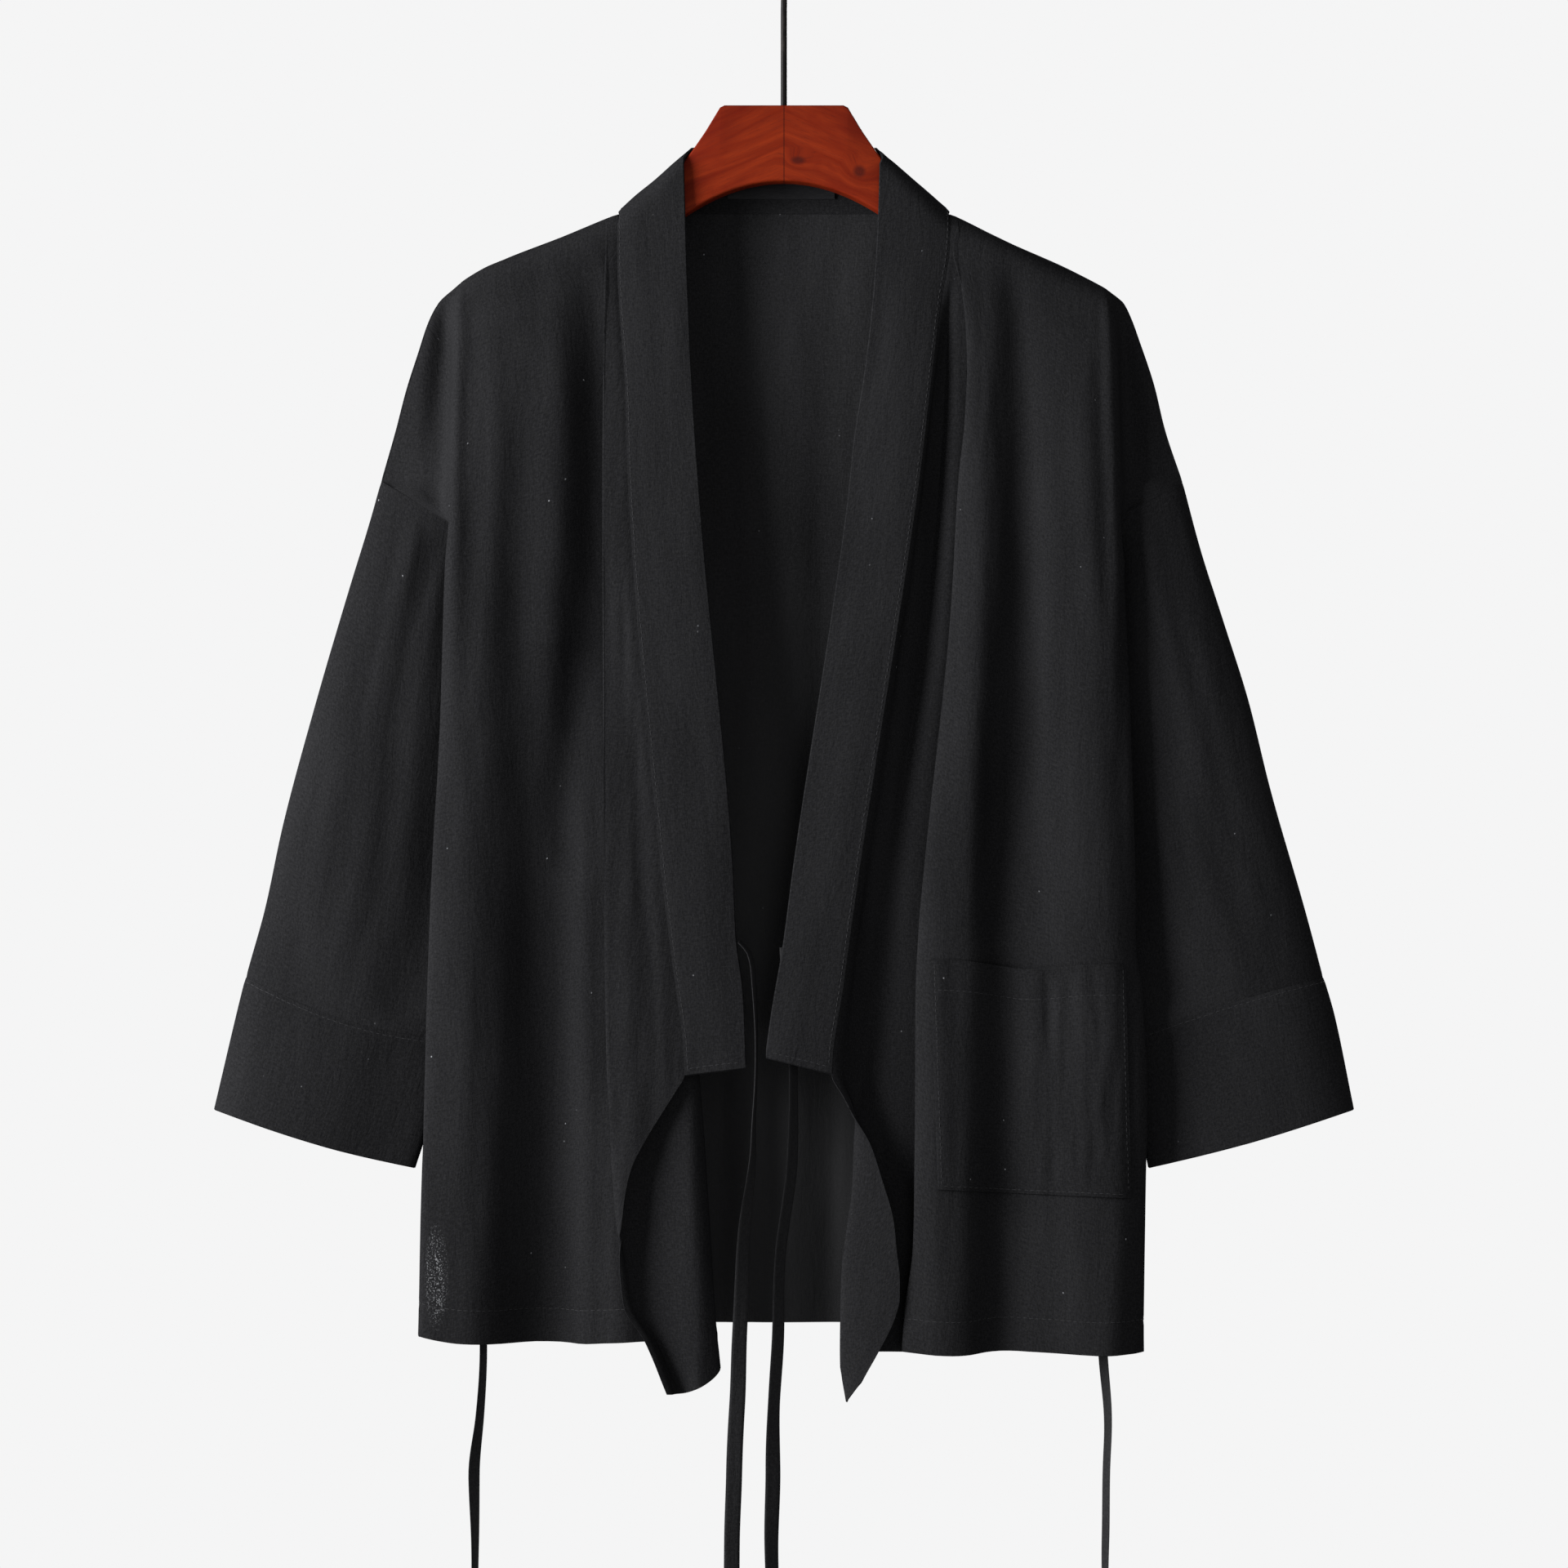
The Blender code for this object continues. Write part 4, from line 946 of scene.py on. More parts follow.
def mesh_piece(name, points, faces, slot, smooth_angle=50):
    """A named mesh on the body, its faces turned outward, with its slot and material."""
    mesh = bpy.data.meshes.new(name)
    mesh.from_pydata([tuple(p) for p in points], [], faces)
    shape = bmesh.new()
    shape.from_mesh(mesh)
    bmesh.ops.recalc_face_normals(shape, faces=shape.faces)
    shape.to_mesh(mesh)
    shape.free()
    mesh.shade_smooth()
    mesh.set_sharp_from_angle(angle=math.radians(smooth_angle))
    mesh.materials.append(MATERIALS[slot])
    made = bpy.data.objects.new(name, mesh)
    bpy.context.collection.objects.link(made)
    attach(made, "root")
    return made


def seam_roll(distance):
    """How the cloth turns in at a sewn edge, so far from it."""
    return -ROLL * bell(distance, ROLL_WIDTH)


def calm(distance, edge="seam"):
    """Fades the creases out towards an edge."""
    return 1 - bell(distance, CALM[edge])


def hem_shape(cloth):
    """The groove of the hem's stitching and the puckers that it pulls."""
    up, along = cloth.from_edge("bottom"), lengths_from(cloth.middle, 1, False)
    near = bell(up - HEM_FOLD, PUCKER_REACH) * (0.6 + 0.4 * lattice(along, up * 0, 47, 50, 71))
    pucker = PUCKER * near * lattice(along, up, PUCKER_LENGTH / 2, 16, 72)
    return pucker - HEM_GROOVE * bell(up - HEM_FOLD, HEM_GROOVE_WIDTH)


def front_lift(name, across, drop, key=0):
    """Lift on a front; key says which layer of the pleat the cloth is in."""
    drape, strip, seed = {
        "front_left": (LEFT_CREASES, LEFT_STRIP_CREASES, 11),
        "front_right": (RIGHT_CREASES, RIGHT_STRIP_CREASES, 37),
    }[name]
    end, start = FOLDED[name]
    shares = np.clip((end - key) * 1.5, 0, 1), np.clip((key - start) * 2, 0, 1)
    folds = creases(drape, across, drop) * shares[0] + creases(strip, across, drop) * shares[1]
    return folds + crinkles(across, drop, seed)


def front_cloth(name, front):
    rows = fine(ROWS)
    grid = np.array([across_keys(front.key_row(plain), BETWEEN) for plain in rows])
    side = np.sign(grid[0, -1, 0] - grid[0, 0, 0])
    on_band = rows <= BAND_ROW
    grid[:, -1, 0] -= np.where(on_band, side * SEAM / 2, 0)
    lines = np.where(on_band[:, None], (1, 0, 0), (0, 0, 1))
    cloth = Cloth(
        name, grid_world(grid), THIN,
        flat={"top": (0, 1, 0), "first": edge_directions(front, rows), "last": lines},
    )
    first, last, top = cloth.from_edge("first"), cloth.from_edge("last"), cloth.from_edge("top")
    keys = np.arange(grid.shape[1])[None, :] / BETWEEN
    across, drop = grid[..., 0], grid[..., 1]
    lift = front_lift(name, across, drop, keys) * calm(first, "front_edge")
    before_ridge = keys < front.names.index("ridge")
    lift += creases((SIDE_TROUGHS[name],), across, drop) * before_ridge * calm(first, "side_trough")
    lift *= calm(top, "front_top") * np.where(on_band[:, None], calm(last, "front_band"), 1)
    # The layers that are turned away inside the pleat keep their places
    lift *= np.clip((-cloth.normals[..., 1] - 0.1) * 2.5, 0, 1)
    armhole = ((rows > ARMHOLE_TOP - 3) & (rows < ARMHOLE_END))[:, None]
    lift += np.where(on_band[:, None], seam_roll(last), 0) + np.where(armhole, seam_roll(first) / 3, 0)
    lift += hem_shape(cloth)
    cloth.lift(lift)
    return cloth


def back_cloth():
    rows = []
    plains = fine(ROWS)
    for plain in plains:
        share = (plain - ROWS[0]) / (ROWS[-1] - ROWS[0])
        # The back's edge, recess and fold mirror those of the fronts
        left, right = [front.key_row(plain)[:3] * (1, 1, -1) for front in (LEFT, RIGHT)]
        folds = []
        for top, hem, top_depth, hem_depth, at_neck in BACK_FOLDS[1:]:
            start = BACK_NECK_DROP if at_neck else smooth(SHOULDER_LEFT if top < 0 else SHOULDER_RIGHT, top)
            drop = start + (BACK_HEM - start) * share
            rounded = CAP_DEPTH if at_neck else rounding(drop - start)
            grown = np.interp(drop - start, (0, 40), (1, 1) if at_neck else (0, 1))
            depth = SEAM / 2 + rounded + grown * (top_depth + (hem_depth - top_depth) * share)
            folds.append((top + (hem - top) * share, drop, depth))
        rows.append(across_keys(np.concatenate([left, folds, right[::-1]]), BACK_BETWEEN))
    grid = np.array(rows)
    at_neck = np.abs(grid[0, :, 0]) < NECK_HALF
    ridge = np.where(at_neck[:, None], (0, 0, 1), (0, 1, 0))
    cloth = Cloth(
        "back", grid_world(grid), THIN, outward=(0, 1, 0),
        flat={"top": ridge, "first": edge_directions(LEFT, plains), "last": edge_directions(RIGHT, plains)},
    )
    first, last, top = cloth.from_edge("first"), cloth.from_edge("last"), cloth.from_edge("top")
    lift = creases(BACK_CREASES, grid[..., 0], grid[..., 1]) + crinkles(grid[..., 0], grid[..., 1], 53, 1.4)
    lift *= calm(first) * calm(last) * calm(top, "back_top")
    lift += np.where(at_neck, seam_roll(top), 0) + hem_shape(cloth)
    cloth.lift(lift)
    return cloth


def sleeve_lift(rings, seed, side):
    """Creases round a sleeve, its front and its back each with their own, and the trough beside the front."""
    turns = turns_of(rings.shape[1])
    before = np.sin(turns) >= 0
    across, drop = np.broadcast_to((1 - np.cos(turns)) / 2 * 100, rings.shape[:2]), rings[..., 1]
    edge = np.abs(np.sin(turns)) ** 0.5
    shown = creases(SLEEVE_CREASES, across, drop) + crinkles(across * 1.1, drop, seed)
    hidden = creases(SLEEVE_CREASES_BEHIND, across, drop) + crinkles(across * 1.1, drop, seed + 9)
    trough = np.where(before, creases((SLEEVE_TROUGHS[side],), across, drop), 0)
    return np.where(before, shown, hidden) * edge, trough * edge


def sleeve_cloth(side, sleeve, front, seed):
    rings = sleeve_rings(sleeve, SLEEVE_TOP, CUFF_SEAM, SLEEVE_DEPTH, (0, sleeve["seam_sag"]), SLEEVE_ROWS)
    points = grid_world(rings)
    cross = armhole_normal(front.lines)
    points[0] += cross * SEAM * MM
    cloth = Cloth(f"sleeve_{side}", points, THIN, round_it=True, flat={"top": cross, "bottom": (0, 0, 1)})
    top, low = cloth.from_edge("top"), cloth.from_edge("bottom")
    lift, trough = sleeve_lift(rings, seed, side)
    lift = (lift * calm(top) + trough * calm(top, "sleeve_trough")) * calm(low)
    cloth.lift(lift + seam_roll(top) / 3 + seam_roll(low))
    return cloth


def cuff_cloth(side, sleeve, seed):
    start = [drop + SEAM * 1.1 for drop in CUFF_SEAM]
    sags = sleeve["seam_sag"], sleeve["hem_sag"]
    rings = sleeve_rings(sleeve, start, CUFF_HEM, CUFF_DEPTH, sags, CUFF_ROWS)
    cloth = Cloth(f"cuff_{side}", grid_world(rings), CUFF_THIN, round_it=True, flat={"top": (0, 0, 1)})
    top = cloth.from_edge("top")
    cloth.lift(0.5 * sum(sleeve_lift(rings, seed, side)) * calm(top, "cuff") + seam_roll(top))
    return cloth


def resampled(sections):
    """The band's sections at even steps along a smooth line through them."""
    places = places_along((sections[:, :3] + sections[:, 3:]) / 2)
    at = np.linspace(0, places[-1], math.ceil(places[-1] / BAND_STEP) + 1)
    return smooth_columns(places, sections, at)


def band_cloth():
    left = band_front(LEFT, BAND_LEFT, BAND_FORWARD, BAND_ENDS[0])
    right = band_front(RIGHT, BAND_RIGHT, BAND_FORWARD_RIGHT, BAND_ENDS[1])
    sections = resampled(np.array(left + band_turn() + right[::-1]))
    shares = np.linspace(0, 1, BAND_ACROSS)
    grid = np.stack([sections[:, :3] + (sections[:, 3:] - sections[:, :3]) * share for share in shares], 1)
    fronts = np.clip(-sections[:, 2] / CAP_DEPTH, 0, 1)
    grid[..., 2] -= fronts[:, None] * np.sin(math.pi * shares)
    seam = np.array([(1, 0, 0) if depth < -3 else (0, 0, 1) for depth in sections[:, 2]])
    cloth = Cloth("collar_band", grid_world(grid), BAND_THIN, flat={"first": seam})
    # The normals turn with the band, from the front over the shoulders to the neck's inside
    outward = np.where(sections[:, 2] < 2, -1, 1)[:, None]
    facing = np.sign((cloth.normals[..., 1] * outward).sum())
    cloth.normals = cloth.normals * (1 if facing == 0 else facing)
    first, along = cloth.from_edge("first"), lengths_from(cloth.middle, 0, False)
    last = cloth.from_edge("last")
    waves = 0.5 * lattice(first, along, 16, 70, 91) + 0.35 * lattice(first, along, 30, 150, 92)
    waves += 0.22 * lattice(first, along, 9, 14, 93) * bell(first, 10)
    cloth.lift(waves * calm(first, "band_seam") * calm(last, "band_edge") + seam_roll(first) - BAND_SINK)
    return cloth


def pocket_cloth():
    a, b, c, d = [np.array(corner, float) for corner in POCKET_CORNERS]
    high, wide = math.hypot(*(c - a)), math.hypot(*(b - a))
    along = np.linspace(0, 1, math.ceil(wide / POCKET_STEP) + 1)
    side = np.minimum(along, 1 - along) * wide
    fold, fold_width, fold_reach, fold_depth = MOUTH_FOLD
    rows = []
    for down in np.linspace(0, 1, math.ceil(high / POCKET_STEP) + 1):
        left, right = a * (1 - down) + c * down, b * (1 - down) + d * down
        drop, across = [left[axis] + (right[axis] - left[axis]) * along for axis in (0, 1)]
        low = np.full_like(side, (1 - down) * high)
        slack = bell(along - MOUTH_MIDDLE, MOUTH_WIDTH) * (1 - down) ** 3
        depth = RIGHT.depth_at(across, drop.mean()) - POCKET_LIFT - MOUTH_BULGE * slack
        depth -= front_lift("front_right", across, drop)
        upright = sum(height * lattice(across, drop, *sizes) for height, *sizes in POCKET_CRINKLES)
        upright *= calm(side, "pocket_side") * calm(low, "pocket_bottom")
        depth -= np.interp(along, CRINKLED, (0, 1)) * upright
        depth += fold_depth * bell(along - fold, fold_width) * math.sin(math.pi * min(down / fold_reach, 1))
        depth += POCKET_SINK * (bell(side, POCKET_SINK_WIDTH) + bell(low, POCKET_SINK_WIDTH))
        rows.append(np.stack([across, drop + MOUTH_SAG * slack, depth], 1))
    cloth = Cloth("pocket", grid_world(np.array(rows)), POCKET_THIN)
    top = cloth.from_edge("top")
    cloth.lift(0.35 * bell(top, 1.5) - HEM_GROOVE * bell(top - MOUTH_HEM, 1.3))
    return cloth


def label_cloth():
    behind = np.array(band_turn(), float)[2:-2]
    across = np.linspace(*LABEL_SIDES, 50)
    seam = np.interp(across, behind[:, 0], behind[:, 2])
    inner = np.interp(across, behind[:, 3], behind[:, 5])
    rows = []
    for drop in np.linspace(*LABEL_DROPS, 16):
        share = (behind[0][1] - drop) / (behind[0][1] - behind[0][4])
        waves = 0.3 * lattice(across, across * 0 + drop, 14, 12, 95)
        depth = seam + (inner - seam) * share - LABEL_LIFT - waves
        rows.append(np.stack([across, np.full_like(across, drop), depth], 1))
    return Cloth("neck_label", grid_world(np.array(rows)), LABEL_THIN)


def along_line(points, normals, distances):
    """Points and normals at these distances along a line of points."""
    places = places_along(points) / MM
    spots, facing = [
        np.stack([np.interp(distances, places, column) for column in values.T], 1)
        for values in (points, normals)
    ]
    return spots, unit(facing)


def inset(cloth, edge, distance, inside=False):
    """The line on the cloth's surface that runs so far in from one of its edges."""
    surface = cloth.inner() if inside else cloth.outer()
    normals = -cloth.normals if inside else cloth.normals
    if edge in ("first", "last"):
        surface, normals = surface.transpose(1, 0, 2), normals.transpose(1, 0, 2)
    if edge in ("last", "bottom"):
        surface, normals = surface[::-1], normals[::-1]
    away = lengths_from(surface, 0, False)
    spots, facing = [], []
    for column in range(surface.shape[1]):
        place = np.interp(distance, away[:, column], np.arange(len(away)))
        low = min(int(place), len(away) - 2)
        part = place - low
        spots.append(surface[low, column] * (1 - part) + surface[low + 1, column] * part)
        facing.append(normals[low, column] * (1 - part) + normals[low + 1, column] * part)
    return np.array(spots), unit(np.array(facing))


def stitches(line, name, store, start=0.0, end=0.0):
    """Short threads lying along a line on the cloth, leaving so much free at its ends."""
    total = places_along(line[0])[-1] / MM
    chance = np.random.default_rng(len(store.get(name, [])) + STITCH_SEED)
    turns = turns_of(THREAD_SIDES)[:, None]
    at = start + 1.0
    while at + STITCH_LENGTH < total - end:
        length = STITCH_LENGTH * chance.uniform(0.9, 1.08)
        spots, facing = along_line(*line, np.array([at, at + length / 2, at + length]))
        run = unit(spots[2] - spots[0])
        sideways = unit(np.cross(run, facing[1])) * chance.uniform(-0.12, 0.12) * MM
        rings = []
        for spot, up, (height, size) in zip(spots, facing, STITCH_RINGS):
            around = np.cos(turns) * unit(np.cross(run, up)) + np.sin(turns) * up * 0.8
            rings.append(spot + up * height * MM + sideways + around * THREAD * size * MM)
        store.setdefault(name, []).append(np.array(rings))
        at += STITCH_PITCH * chance.uniform(0.96, 1.05)


def make_stitches(store):
    """One mesh of threads for each piece that is stitched."""
    shape = loft_faces(len(STITCH_RINGS), THREAD_SIDES)
    for name, threads in store.items():
        points = np.array(threads).reshape(-1, 3)
        starts = range(0, len(points), len(STITCH_RINGS) * THREAD_SIDES)
        faces = [tuple(start + spot for spot in face) for start in starts for face in shape]
        mesh_piece(f"stitching_{name}", points, faces, "thread")


def loft_faces(count, sides):
    """Faces of a tube through so many rings of so many points, with its two ends."""
    faces = []
    for ring in range(count - 1):
        for spot in range(sides):
            after, low = (spot + 1) % sides, ring * sides
            faces.append((low + spot, low + after, low + sides + after, low + sides + spot))
    return [*faces, tuple(range(sides))[::-1], tuple((count - 1) * sides + spot for spot in range(sides))]


def make_tie(name, route, seed):
    """A flat sewn tape along its route, waving and twisting a little as it hangs."""
    line = tie_route(route)
    drop = line[:, 0]
    free = np.clip((drop - drop[0]) / TIE_CALM, 0, 1)
    across, depth, turn = [
        line[:, part + 1] + size * free * lattice(drop, drop * 0, length, 50, seed + part)
        for part, (size, length) in enumerate(TIE_WAVES)
    ]
    turn = np.radians(turn)
    points = world(across, drop, depth)
    tangents = unit(np.gradient(points, axis=0))
    facing = np.stack([np.sin(turn), -np.cos(turn), np.zeros(len(turn))], 1)
    wide = unit(np.cross(tangents, facing))
    thick = unit(np.cross(wide, tangents))
    rings = np.stack([points + (wide * w + thick * t) * MM for w, t in TAPE_SECTION], 1)
    faces = loft_faces(len(points), len(TAPE_SECTION))
    made = mesh_piece(f"{name}_tape", rings.reshape(-1, 3), faces, "tape")
    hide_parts(name)
    spots, sides = np.divmod(corner_points(made), len(TAPE_SECTION))
    places = np.array([w for w, _ in TAPE_SECTION])[sides] * MM + seed
    set_weave(made, np.stack([places, -drop[spots] * MM], 1))


def make_hanger(side, name):
    stations = sorted({-0.05, 38, 40, 41, 42, 43, 44.5, *np.arange(2, 214, 2.5).tolist(), 214.6, 215})
    rings = [wood_ring(distance, side) for distance in stations]
    faces = loft_faces(len(rings), len(rings[0]))
    made = mesh_piece(f"{name}_wood", np.concatenate(rings), faces, "wood", 35)
    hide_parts(name)


def make_hook():
    radius = HOOK_RADIUS + WIRE / 2
    keys = [(0, TOP + 0.3), (0, TOP + 30), (0, TOP + 60), *HOOK_BEND]
    for angle in np.radians(np.arange(*HOOK_TURN)):
        keys.append((radius * math.cos(angle), -HOOK_RADIUS + radius * math.sin(angle)))
    keys = np.array(keys)
    places = places_along(keys)
    at = np.concatenate([np.linspace(0, 80, 12)[:-1], np.linspace(80, places[-1], 110)])
    route = smooth_columns(places, keys, at)
    tangents = unit(np.gradient(route, axis=0))
    sizes = [WIRE / 2] * len(route) + [WIRE * share for _, share in HOOK_END]
    route = np.concatenate([route, [route[-1] + tangents[-1] * reach for reach, _ in HOOK_END]])
    tangents = np.concatenate([tangents, [tangents[-1]] * len(HOOK_END)])
    turns = turns_of(20)
    rings = []
    for (x, z), (along_x, along_z), size in zip(route, tangents, sizes):
        out, side = np.cos(turns) * size, np.sin(turns) * size
        rings.append(np.stack([x - along_z * out, side, z + along_x * out], 1) * MM)
    made = mesh_piece("hook_wire", np.concatenate(rings), loft_faces(len(rings), 20), "steel")
    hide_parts("hook")


class Nodes:
    """Short names for making a material's nodes and joining them."""

    def __init__(self, name, colour, roughness, **sockets):
        self.material = bpy.data.materials.new(name)
        self.material.use_nodes = True
        self.material.diffuse_color = (*colour, 1)
        self.tree = self.material.node_tree
        self.surface = self.tree.nodes["Principled BSDF"]
        self.surface.inputs["Base Color"].default_value = (*colour, 1)
        self.surface.inputs["Roughness"].default_value = roughness
        for socket, value in sockets.items():
            self.surface.inputs[socket.replace("_", " ")].default_value = value

    def add(self, kind, settings=None, **inputs):
        node = self.tree.nodes.new(kind)
        for key, value in (settings or {}).items():
            setattr(node, key, value)
        for key, value in inputs.items():
            self.put(node, key.replace("_", " "), value)
        return node

    def put(self, node, socket, value):
        numbered = socket[0] == "n" and socket[1:].isdigit()
        place = node.inputs[int(socket[1:]) if numbered else socket]
        if isinstance(value, bpy.types.NodeSocket):
            self.tree.links.new(value, place)
        else:
            place.default_value = value

    def place(self):
        """The place in the part's frame, in metres."""
        return self.add("ShaderNodeTexCoord").outputs["Object"]

    def split(self, vector):
        return self.add("ShaderNodeSeparateXYZ", Vector=vector).outputs

    def math(self, operation, first, second=0.0):
        return self.add("ShaderNodeMath", {"operation": operation}, n0=first, n1=second).outputs[0]

    def scaled(self, vector, scale, location=(0, 0, 0)):
        return self.add("ShaderNodeMapping", Vector=vector, Scale=scale, Location=location).outputs[0]

    def noise(self, vector, scale, detail, rough, shift=(0, 0, 0), distortion=0.0):
        values = {"Scale": 1.0, "Detail": detail, "Roughness": rough, "Distortion": distortion}
        return self.add("ShaderNodeTexNoise", Vector=self.scaled(vector, scale, shift), **values).outputs[0]

    def span(self, value, low, high, to_low=0.0, to_high=1.0):
        ends = {"From_Min": low, "From_Max": high, "To_Min": to_low, "To_Max": to_high}
        return self.add("ShaderNodeMapRange", Value=value, **ends).outputs[0]

    def mix(self, share, first, second):
        """Two colours, given as three numbers or as a socket."""
        node = self.add("ShaderNodeMix", {"data_type": "RGBA"}, n0=share)
        for socket, value in (("n6", first), ("n7", second)):
            self.put(node, socket, (*value, 1) if isinstance(value, tuple) else value)
        return node.outputs[2]

    def paint_over(self, share, colour):
        """Mixes a colour over the one that the surface has."""
        old = self.surface.inputs["Base Color"].links[0].from_socket
        self.put(self.surface, "Base Color", self.mix(share, old, colour))

    def ellipse(self, parts, across, drop, half_across, half_drop):
        """The square of the distance from a spot seen at this place, 1 on the rim of an ellipse."""
        wide = self.math("DIVIDE", self.math("SUBTRACT", parts[0], across * MM), half_across * MM)
        high = self.math("DIVIDE", self.math("SUBTRACT", parts[2], (TOP - drop) * MM), half_drop * MM)
        return self.math("ADD", self.math("MULTIPLY", wide, wide), self.math("MULTIPLY", high, high))

    def bump(self, height, distance, strength=1.0, under=None):
        node = self.add("ShaderNodeBump", Strength=strength, Distance=distance, Height=height)
        if under is not None:
            self.put(node, "Normal", under)
        return node.outputs[0]


def cloth_material(name, colour, light, strength=1.0, specks=True):
    """Uneven threads both ways, crinkles and pale lint, on the cloth's own map in metres."""
    n = Nodes(name, colour, 0.95, Specular_IOR_Level=0.0)
    place = n.add("ShaderNodeUVMap", {"uv_map": "weave"}).outputs[0]
    warp = n.noise(place, (1 / THREAD_PITCH, 1 / 0.0040, 1), 2, 0.65)
    weft = n.noise(place, (1 / 0.0050, 1 / THREAD_PITCH, 1), 2, 0.65, (3.1, 7.7, 0))
    slubs = n.noise(place, (1 / 0.0065, 1 / 0.0009, 1), 1, 0.5, (9.2, 4.4, 0))
    crinkle = n.noise(place, (1 / 0.0048, 1 / 0.020, 1), 3, 0.55, (1.7, 2.9, 0), 0.6)
    patches = n.noise(place, (1 / 0.05, 1 / 0.16, 1), 2, 0.5, (5.5, 8.1, 0))
    mottle = n.noise(place, (1 / 0.0013, 1 / 0.0018, 1), 2, 0.6, (4.1, 6.3, 0))
    threads = n.math("ADD", n.math("MULTIPLY", warp, 0.5), n.math("MULTIPLY", weft, 0.5))
    threads = n.math("ADD", threads, n.math("MULTIPLY", n.span(slubs, 0.62, 0.8), 0.2))
    share = n.math("ADD", n.span(threads, 0.36, 0.66, -0.05, 0.5), n.span(patches, 0.3, 0.7, -0.1, 0.3))
    share = n.math("ADD", share, n.span(mottle, 0.3, 0.7, -0.3, 0.35))
    tone = n.mix(n.math("MINIMUM", n.math("MAXIMUM", share, 0), 1), colour, light)
    if specks:
        cells = n.add("ShaderNodeTexVoronoi", Vector=n.scaled(place, (75, 62, 1)), Scale=1.0)
        near = n.span(cells.outputs["Distance"], 0.02, 0.045, 1.0, 0.0)
        chance = n.add("ShaderNodeSeparateColor", Color=cells.outputs["Color"]).outputs[0]
        lint = n.math("MULTIPLY", near, n.span(chance, 0.62, 0.95))
        tone = n.mix(n.math("MULTIPLY", lint, 0.8), tone, (0.0770, 0.0785, 0.0832))
    n.put(n.surface, "Base Color", tone)
    n.put(n.surface, "Roughness", n.span(threads, 0.3, 0.7, 1.0, 0.9))
    low = n.bump(crinkle, 0.0012, 0.4 * strength)
    n.put(n.surface, "Normal", n.bump(threads, 0.00035, 0.8 * strength, low))
    return n


def inside_painted_light_material():
    """A lit copy of the cloth for its inner face: painted paler with light all over, and palest in a painted
    pool of light behind the ends of the band.
    """
    # Painted light: the base tones are the cloth's, made paler to stand in for the light through the opening.
    n = cloth_material("inside", (0.0037, 0.0037, 0.0039), (0.0075, 0.0075, 0.0080))
    height = n.split(n.place())[2]
    upper = n.span(height, (TOP - 600) * MM, (TOP - 300) * MM, 0.6, 0.0)
    lower = n.span(height, (TOP - 700) * MM, (TOP - 530) * MM, 0.35, 0.6)
    # Painted light: a paler tone by height, brightest behind the ends of the band and fading up and down,
    # where light through the opening falls.
    n.paint_over(n.math("MINIMUM", upper, lower), (0.0143, 0.0144, 0.0149))
    return n


def thin_spot(n):
    """Pale points of the wall's light where the weave is loose, low on the left front."""
    place = n.place()
    inside = n.span(n.ellipse(n.split(place), *THIN_SPOT), 0.0, 1.1, 1.0, 0.0)
    points = n.noise(place, (1300, 1300, 900), 1, 0.5)
    streaks = n.noise(place, (260, 260, 60), 2, 0.5, (2.2, 0, 1.4))
    points = n.math("ADD", points, n.math("MULTIPLY", n.math("SUBTRACT", streaks, 0.5), 0.25))
    n.paint_over(n.math("MULTIPLY", inside, n.span(points, 0.55, 0.72, 0.0, 0.9)), (0.060, 0.0615, 0.064))


def plain_material(name, colour, roughness, specular, pattern, tones, relief, spread=None, rough=None):
    """A plain surface whose tone, gloss and relief follow one noise."""
    n = Nodes(name, colour, roughness, Specular_IOR_Level=specular)
    wear = n.noise(n.place(), *pattern)
    n.put(n.surface, "Base Color", n.mix(n.span(wear, *spread) if spread else wear, *tones))
    if rough:
        n.put(n.surface, "Roughness", n.span(wear, 0.3, 0.7, *rough))
    n.put(n.surface, "Normal", n.bump(wear, 0.0001, relief))
    return n


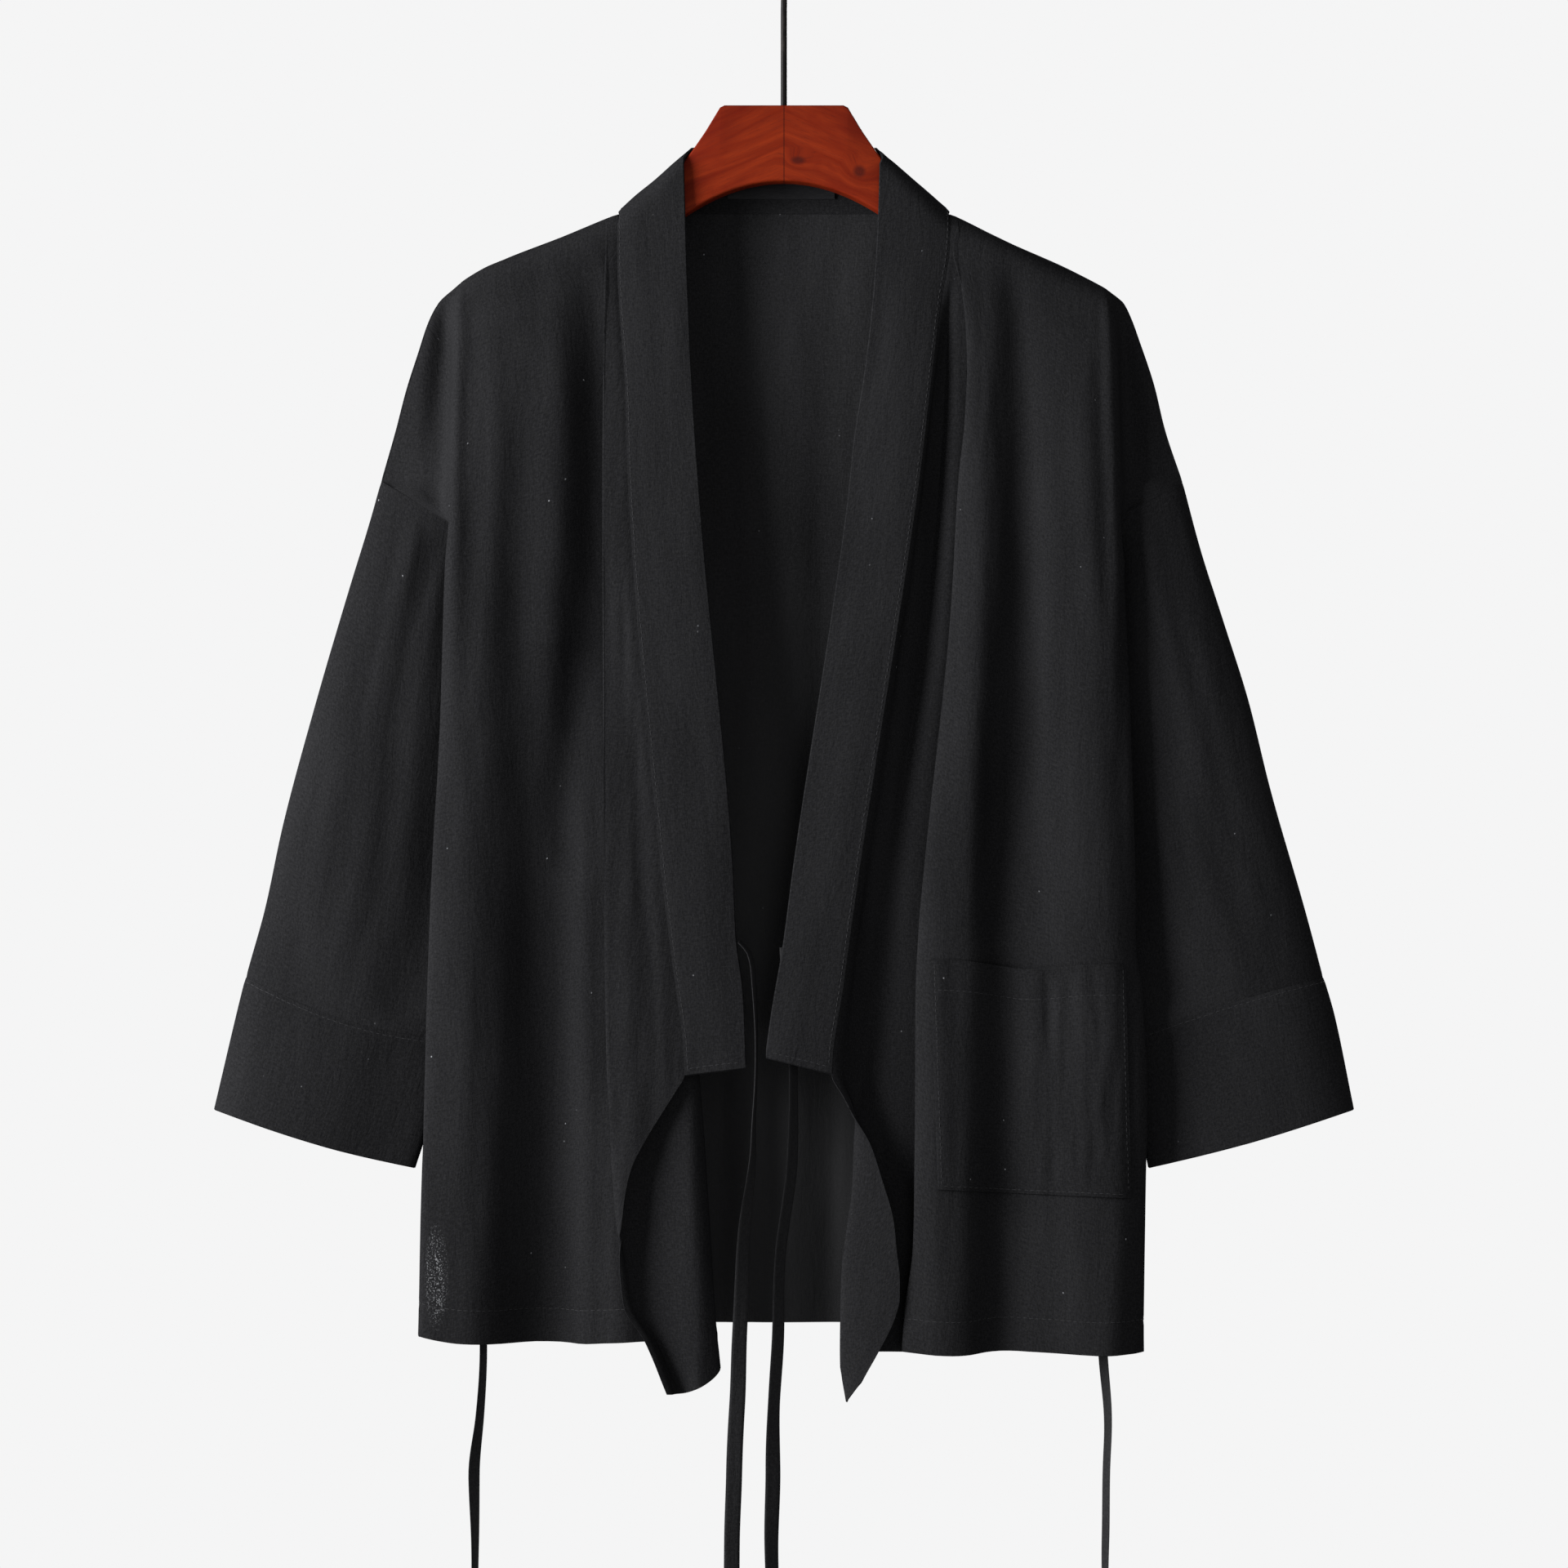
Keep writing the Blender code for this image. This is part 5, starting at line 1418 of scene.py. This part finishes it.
def wood_material():
    n = Nodes(
        "wood", (0.08, 0.009, 0.0035), 0.5, Specular_IOR_Level=0.01, Coat_Weight=0.006, Coat_Roughness=0.35,
    )
    parts = n.split(n.place())
    # The grain runs out and down along each arm, so it is read from the distance to the middle
    out = n.math("ABSOLUTE", parts[0])
    fall = n.math("ADD", parts[2], n.math("MULTIPLY", out, 0.42))
    reaches = [n.math("SQRT", n.ellipse(parts, *knot)) for knot in KNOTS]
    swirl = n.math("MAXIMUM", *[n.span(reach, 0.0, 3.2, 1.0, 0.0) for reach in reaches])
    spots = n.math("MAXIMUM", *[n.span(reach, 0.55, 1.25, 1.0, 0.0) for reach in reaches])
    bend = n.math("MULTIPLY", swirl, 0.010)
    grain = n.add("ShaderNodeCombineXYZ", X=parts[0], Y=parts[1], Z=n.math("ADD", fall, bend)).outputs[0]
    broad = n.noise(grain, (14, 40, 95), 3, 0.55, distortion=0.6)
    streaks = n.noise(grain, (45, 300, 900), 3, 0.6)
    pores = n.noise(grain, (160, 900, 2600), 2, 0.5)
    blotches = n.noise(grain, (38, 60, 70), 3, 0.6, (3.3, 0, 5.2))
    corner = n.math("MULTIPLY", n.span(out, 0.026, 0.05), n.span(parts[2], -0.172, -0.150))
    glue_line = n.span(out, 0.0002, 0.0006, 0.75, 0.0)
    tone = n.mix(n.span(broad, 0.32, 0.68), (0.034, 0.0026, 0.0008), (0.060, 0.0064, 0.0015))
    for share, colour in (
        (n.span(streaks, 0.42, 0.72, 0.0, 0.4), (0.0308, 0.0035, 0.0015)),
        (n.span(pores, 0.60, 0.72, 0.0, 0.5), (0.0139, 0.0019, 0.0012)),
        (n.math("MULTIPLY", spots, 0.8), (0.012, 0.002, 0.0015)),
        (n.span(blotches, 0.5, 0.72, 0.0, 0.6), (0.0308, 0.0020, 0.0008)),
        (n.math("MULTIPLY", corner, 0.6), (0.0262, 0.0017, 0.0008)),
        (glue_line, (0.014, 0.002, 0.0012)),
    ):
        tone = n.mix(share, tone, colour)
    n.put(n.surface, "Base Color", tone)
    n.put(n.surface, "Roughness", n.span(streaks, 0.3, 0.7, 0.42, 0.56))
    n.put(n.surface, "Normal", n.bump(pores, 0.00008, 0.35))
    return n


def floor_material():
    n = Nodes("floor", (FLOOR_TONE,) * 3, 0.9)
    tone = n.noise(n.place(), (0.8, 0.8, 0.8), 2, 0.5)
    n.put(n.surface, "Base Color", n.mix(tone, (FLOOR_TONE,) * 3, (FLOOR_TONE * 1.02,) * 3))
    return n


MATERIALS = {}


def make_materials():
    made = {
        "cloth": cloth_material("cloth", (0.0028, 0.0028, 0.0030), (0.0060, 0.0060, 0.0064)),
        "inside": inside_painted_light_material(),
        "tape": cloth_material("tape", (0.0046, 0.0046, 0.0049), (0.0091, 0.0091, 0.0095), 0.8, False),
        "label": plain_material(
            "label", (0.005, 0.005, 0.0056), 0.5, 0.03, ((180, 180, 4200), 1, 0.5),
            ((0.0028, 0.0028, 0.0032), (0.0051, 0.0051, 0.0055)), 0.6, (0.4, 0.65), (0.5, 0.36),
        ),
        "thread": plain_material(
            "thread", (0.006, 0.006, 0.0065), 0.7, 0.03, ((2600, 2600, 2600), 1, 0.5),
            ((0.0046, 0.0046, 0.0050), (0.0112, 0.0112, 0.0119)), 0.5,
        ),
        "wood": wood_material(),
        "steel": plain_material(
            "steel", (0.003, 0.0028, 0.0026), 0.3, 0.015, ((260, 260, 90), 3, 0.6),
            ((0.0022, 0.002, 0.0019), (0.007, 0.006, 0.0054)), 0.25, (0.5, 0.75), (0.2, 0.36),
        ),
    }
    thin_spot(made["cloth"])
    MATERIALS.update((slot, n.material) for slot, n in made.items())


def area_light(name, place, height, size, power):
    light = bpy.data.lights.new(name, "AREA")
    light.shape = "RECTANGLE"
    light.size, light.size_y = size
    light.energy = power
    made = bpy.data.objects.new(name, light)
    made.location = place
    aim = mathutils.Vector((0, 0, height)) - mathutils.Vector(place)
    made.rotation_euler = aim.to_track_quat("-Z", "Y").to_euler()
    bpy.context.collection.objects.link(made)


def make_stage():
    scene = bpy.context.scene
    scene.view_settings.view_transform = "Standard"
    world_light = bpy.data.worlds.new("pale_room")
    world_light.use_nodes = True
    back = world_light.node_tree.nodes["Background"]
    back.inputs["Color"].default_value = BACKDROP
    back.inputs["Strength"].default_value = 1.0
    scene.world = world_light
    bpy.ops.mesh.primitive_circle_add(
        vertices=96, radius=FLOOR_RADIUS, fill_type="NGON", location=(0, 0, FLOOR),
    )
    floor = bpy.context.object
    floor.name = "floor"
    floor.data.materials.append(floor_material().material)
    for name, values in LAMPS.items():
        area_light(name, *values)
    camera = bpy.data.cameras.new("camera")
    camera.lens, camera.sensor_width = LENS, SENSOR
    camera.clip_start = 0.05
    eye = bpy.data.objects.new("camera", camera)
    eye.location = (0, -EYE_DISTANCE * MM, MIDDLE)
    eye.rotation_euler = (math.pi / 2, 0, 0)
    bpy.context.collection.objects.link(eye)
    scene.camera = eye


def main():
    make_stage()
    make_materials()
    for seed, (name, route) in enumerate(TIES.items()):
        make_tie(name, route, 120 + 10 * seed)
    front_left, front_right = front_cloth("front_left", LEFT), front_cloth("front_right", RIGHT)
    back = back_cloth()
    sleeves = [sleeve_cloth("left", SLEEVE_LEFT, LEFT, 61), sleeve_cloth("right", SLEEVE_RIGHT, RIGHT, 67)]
    cuffs = [cuff_cloth("left", SLEEVE_LEFT, 62), cuff_cloth("right", SLEEVE_RIGHT, 68)]
    band, pocket, label = band_cloth(), pocket_cloth(), label_cloth()
    store = {}
    for cloth in (front_left, front_right, back):
        stitches(inset(cloth, "bottom", HEM_FOLD), cloth.name, store, 3, 3)
    for cloth in cuffs:
        stitches(inset(cloth, "top", 3), cloth.name, store)
    stitches(inset(band, "first", 2.5), "collar_band", store, 2, 2)
    stitches(inset(band, "top", 4), "collar_band", store, 3, 2)
    stitches(inset(band, "bottom", 4), "collar_band", store, 3, 2)
    for edge, start in (("first", 2), ("last", 2), ("bottom", 3)):
        stitches(inset(pocket, edge, 2.4), "pocket", store, start, 3)
    stitches(inset(pocket, "top", MOUTH_HEM), "pocket", store, 3, 3)
    panels = (
        (front_left, "cloth", (0.0, 0.0)), (front_right, "cloth", (0.9, 0.3)), (back, "cloth", (1.7, 0.9)),
        (sleeves[0], "cloth", (2.9, 0.1)), (sleeves[1], "cloth", (3.9, 0.6)),
        (cuffs[0], "cloth", (4.9, 0.2)), (cuffs[1], "cloth", (5.7, 0.8)), (band, "cloth", (6.3, 0.5)),
        (pocket, "cloth", (7.1, 0.4)), (label, "label", (7.9, 0.7)),
    )
    made = {}
    for cloth, slot, weave in panels:
        made[cloth.name] = cloth.make(slot, weave)
        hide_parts(cloth.name)
    # The back's inner face, which the light through the opening shows paler
    back_mesh = made["back"].data
    back_mesh.materials.append(MATERIALS["inside"])
    rows, columns = back.middle.shape[:2]
    count = (rows - 1) * (columns - 1)
    for face in back_mesh.polygons[count:2 * count]:
        face.material_index = 1
    make_stitches(store)
    make_hanger(-1, "hanger_left")
    make_hanger(1, "hanger_right")
    make_hook()


main()
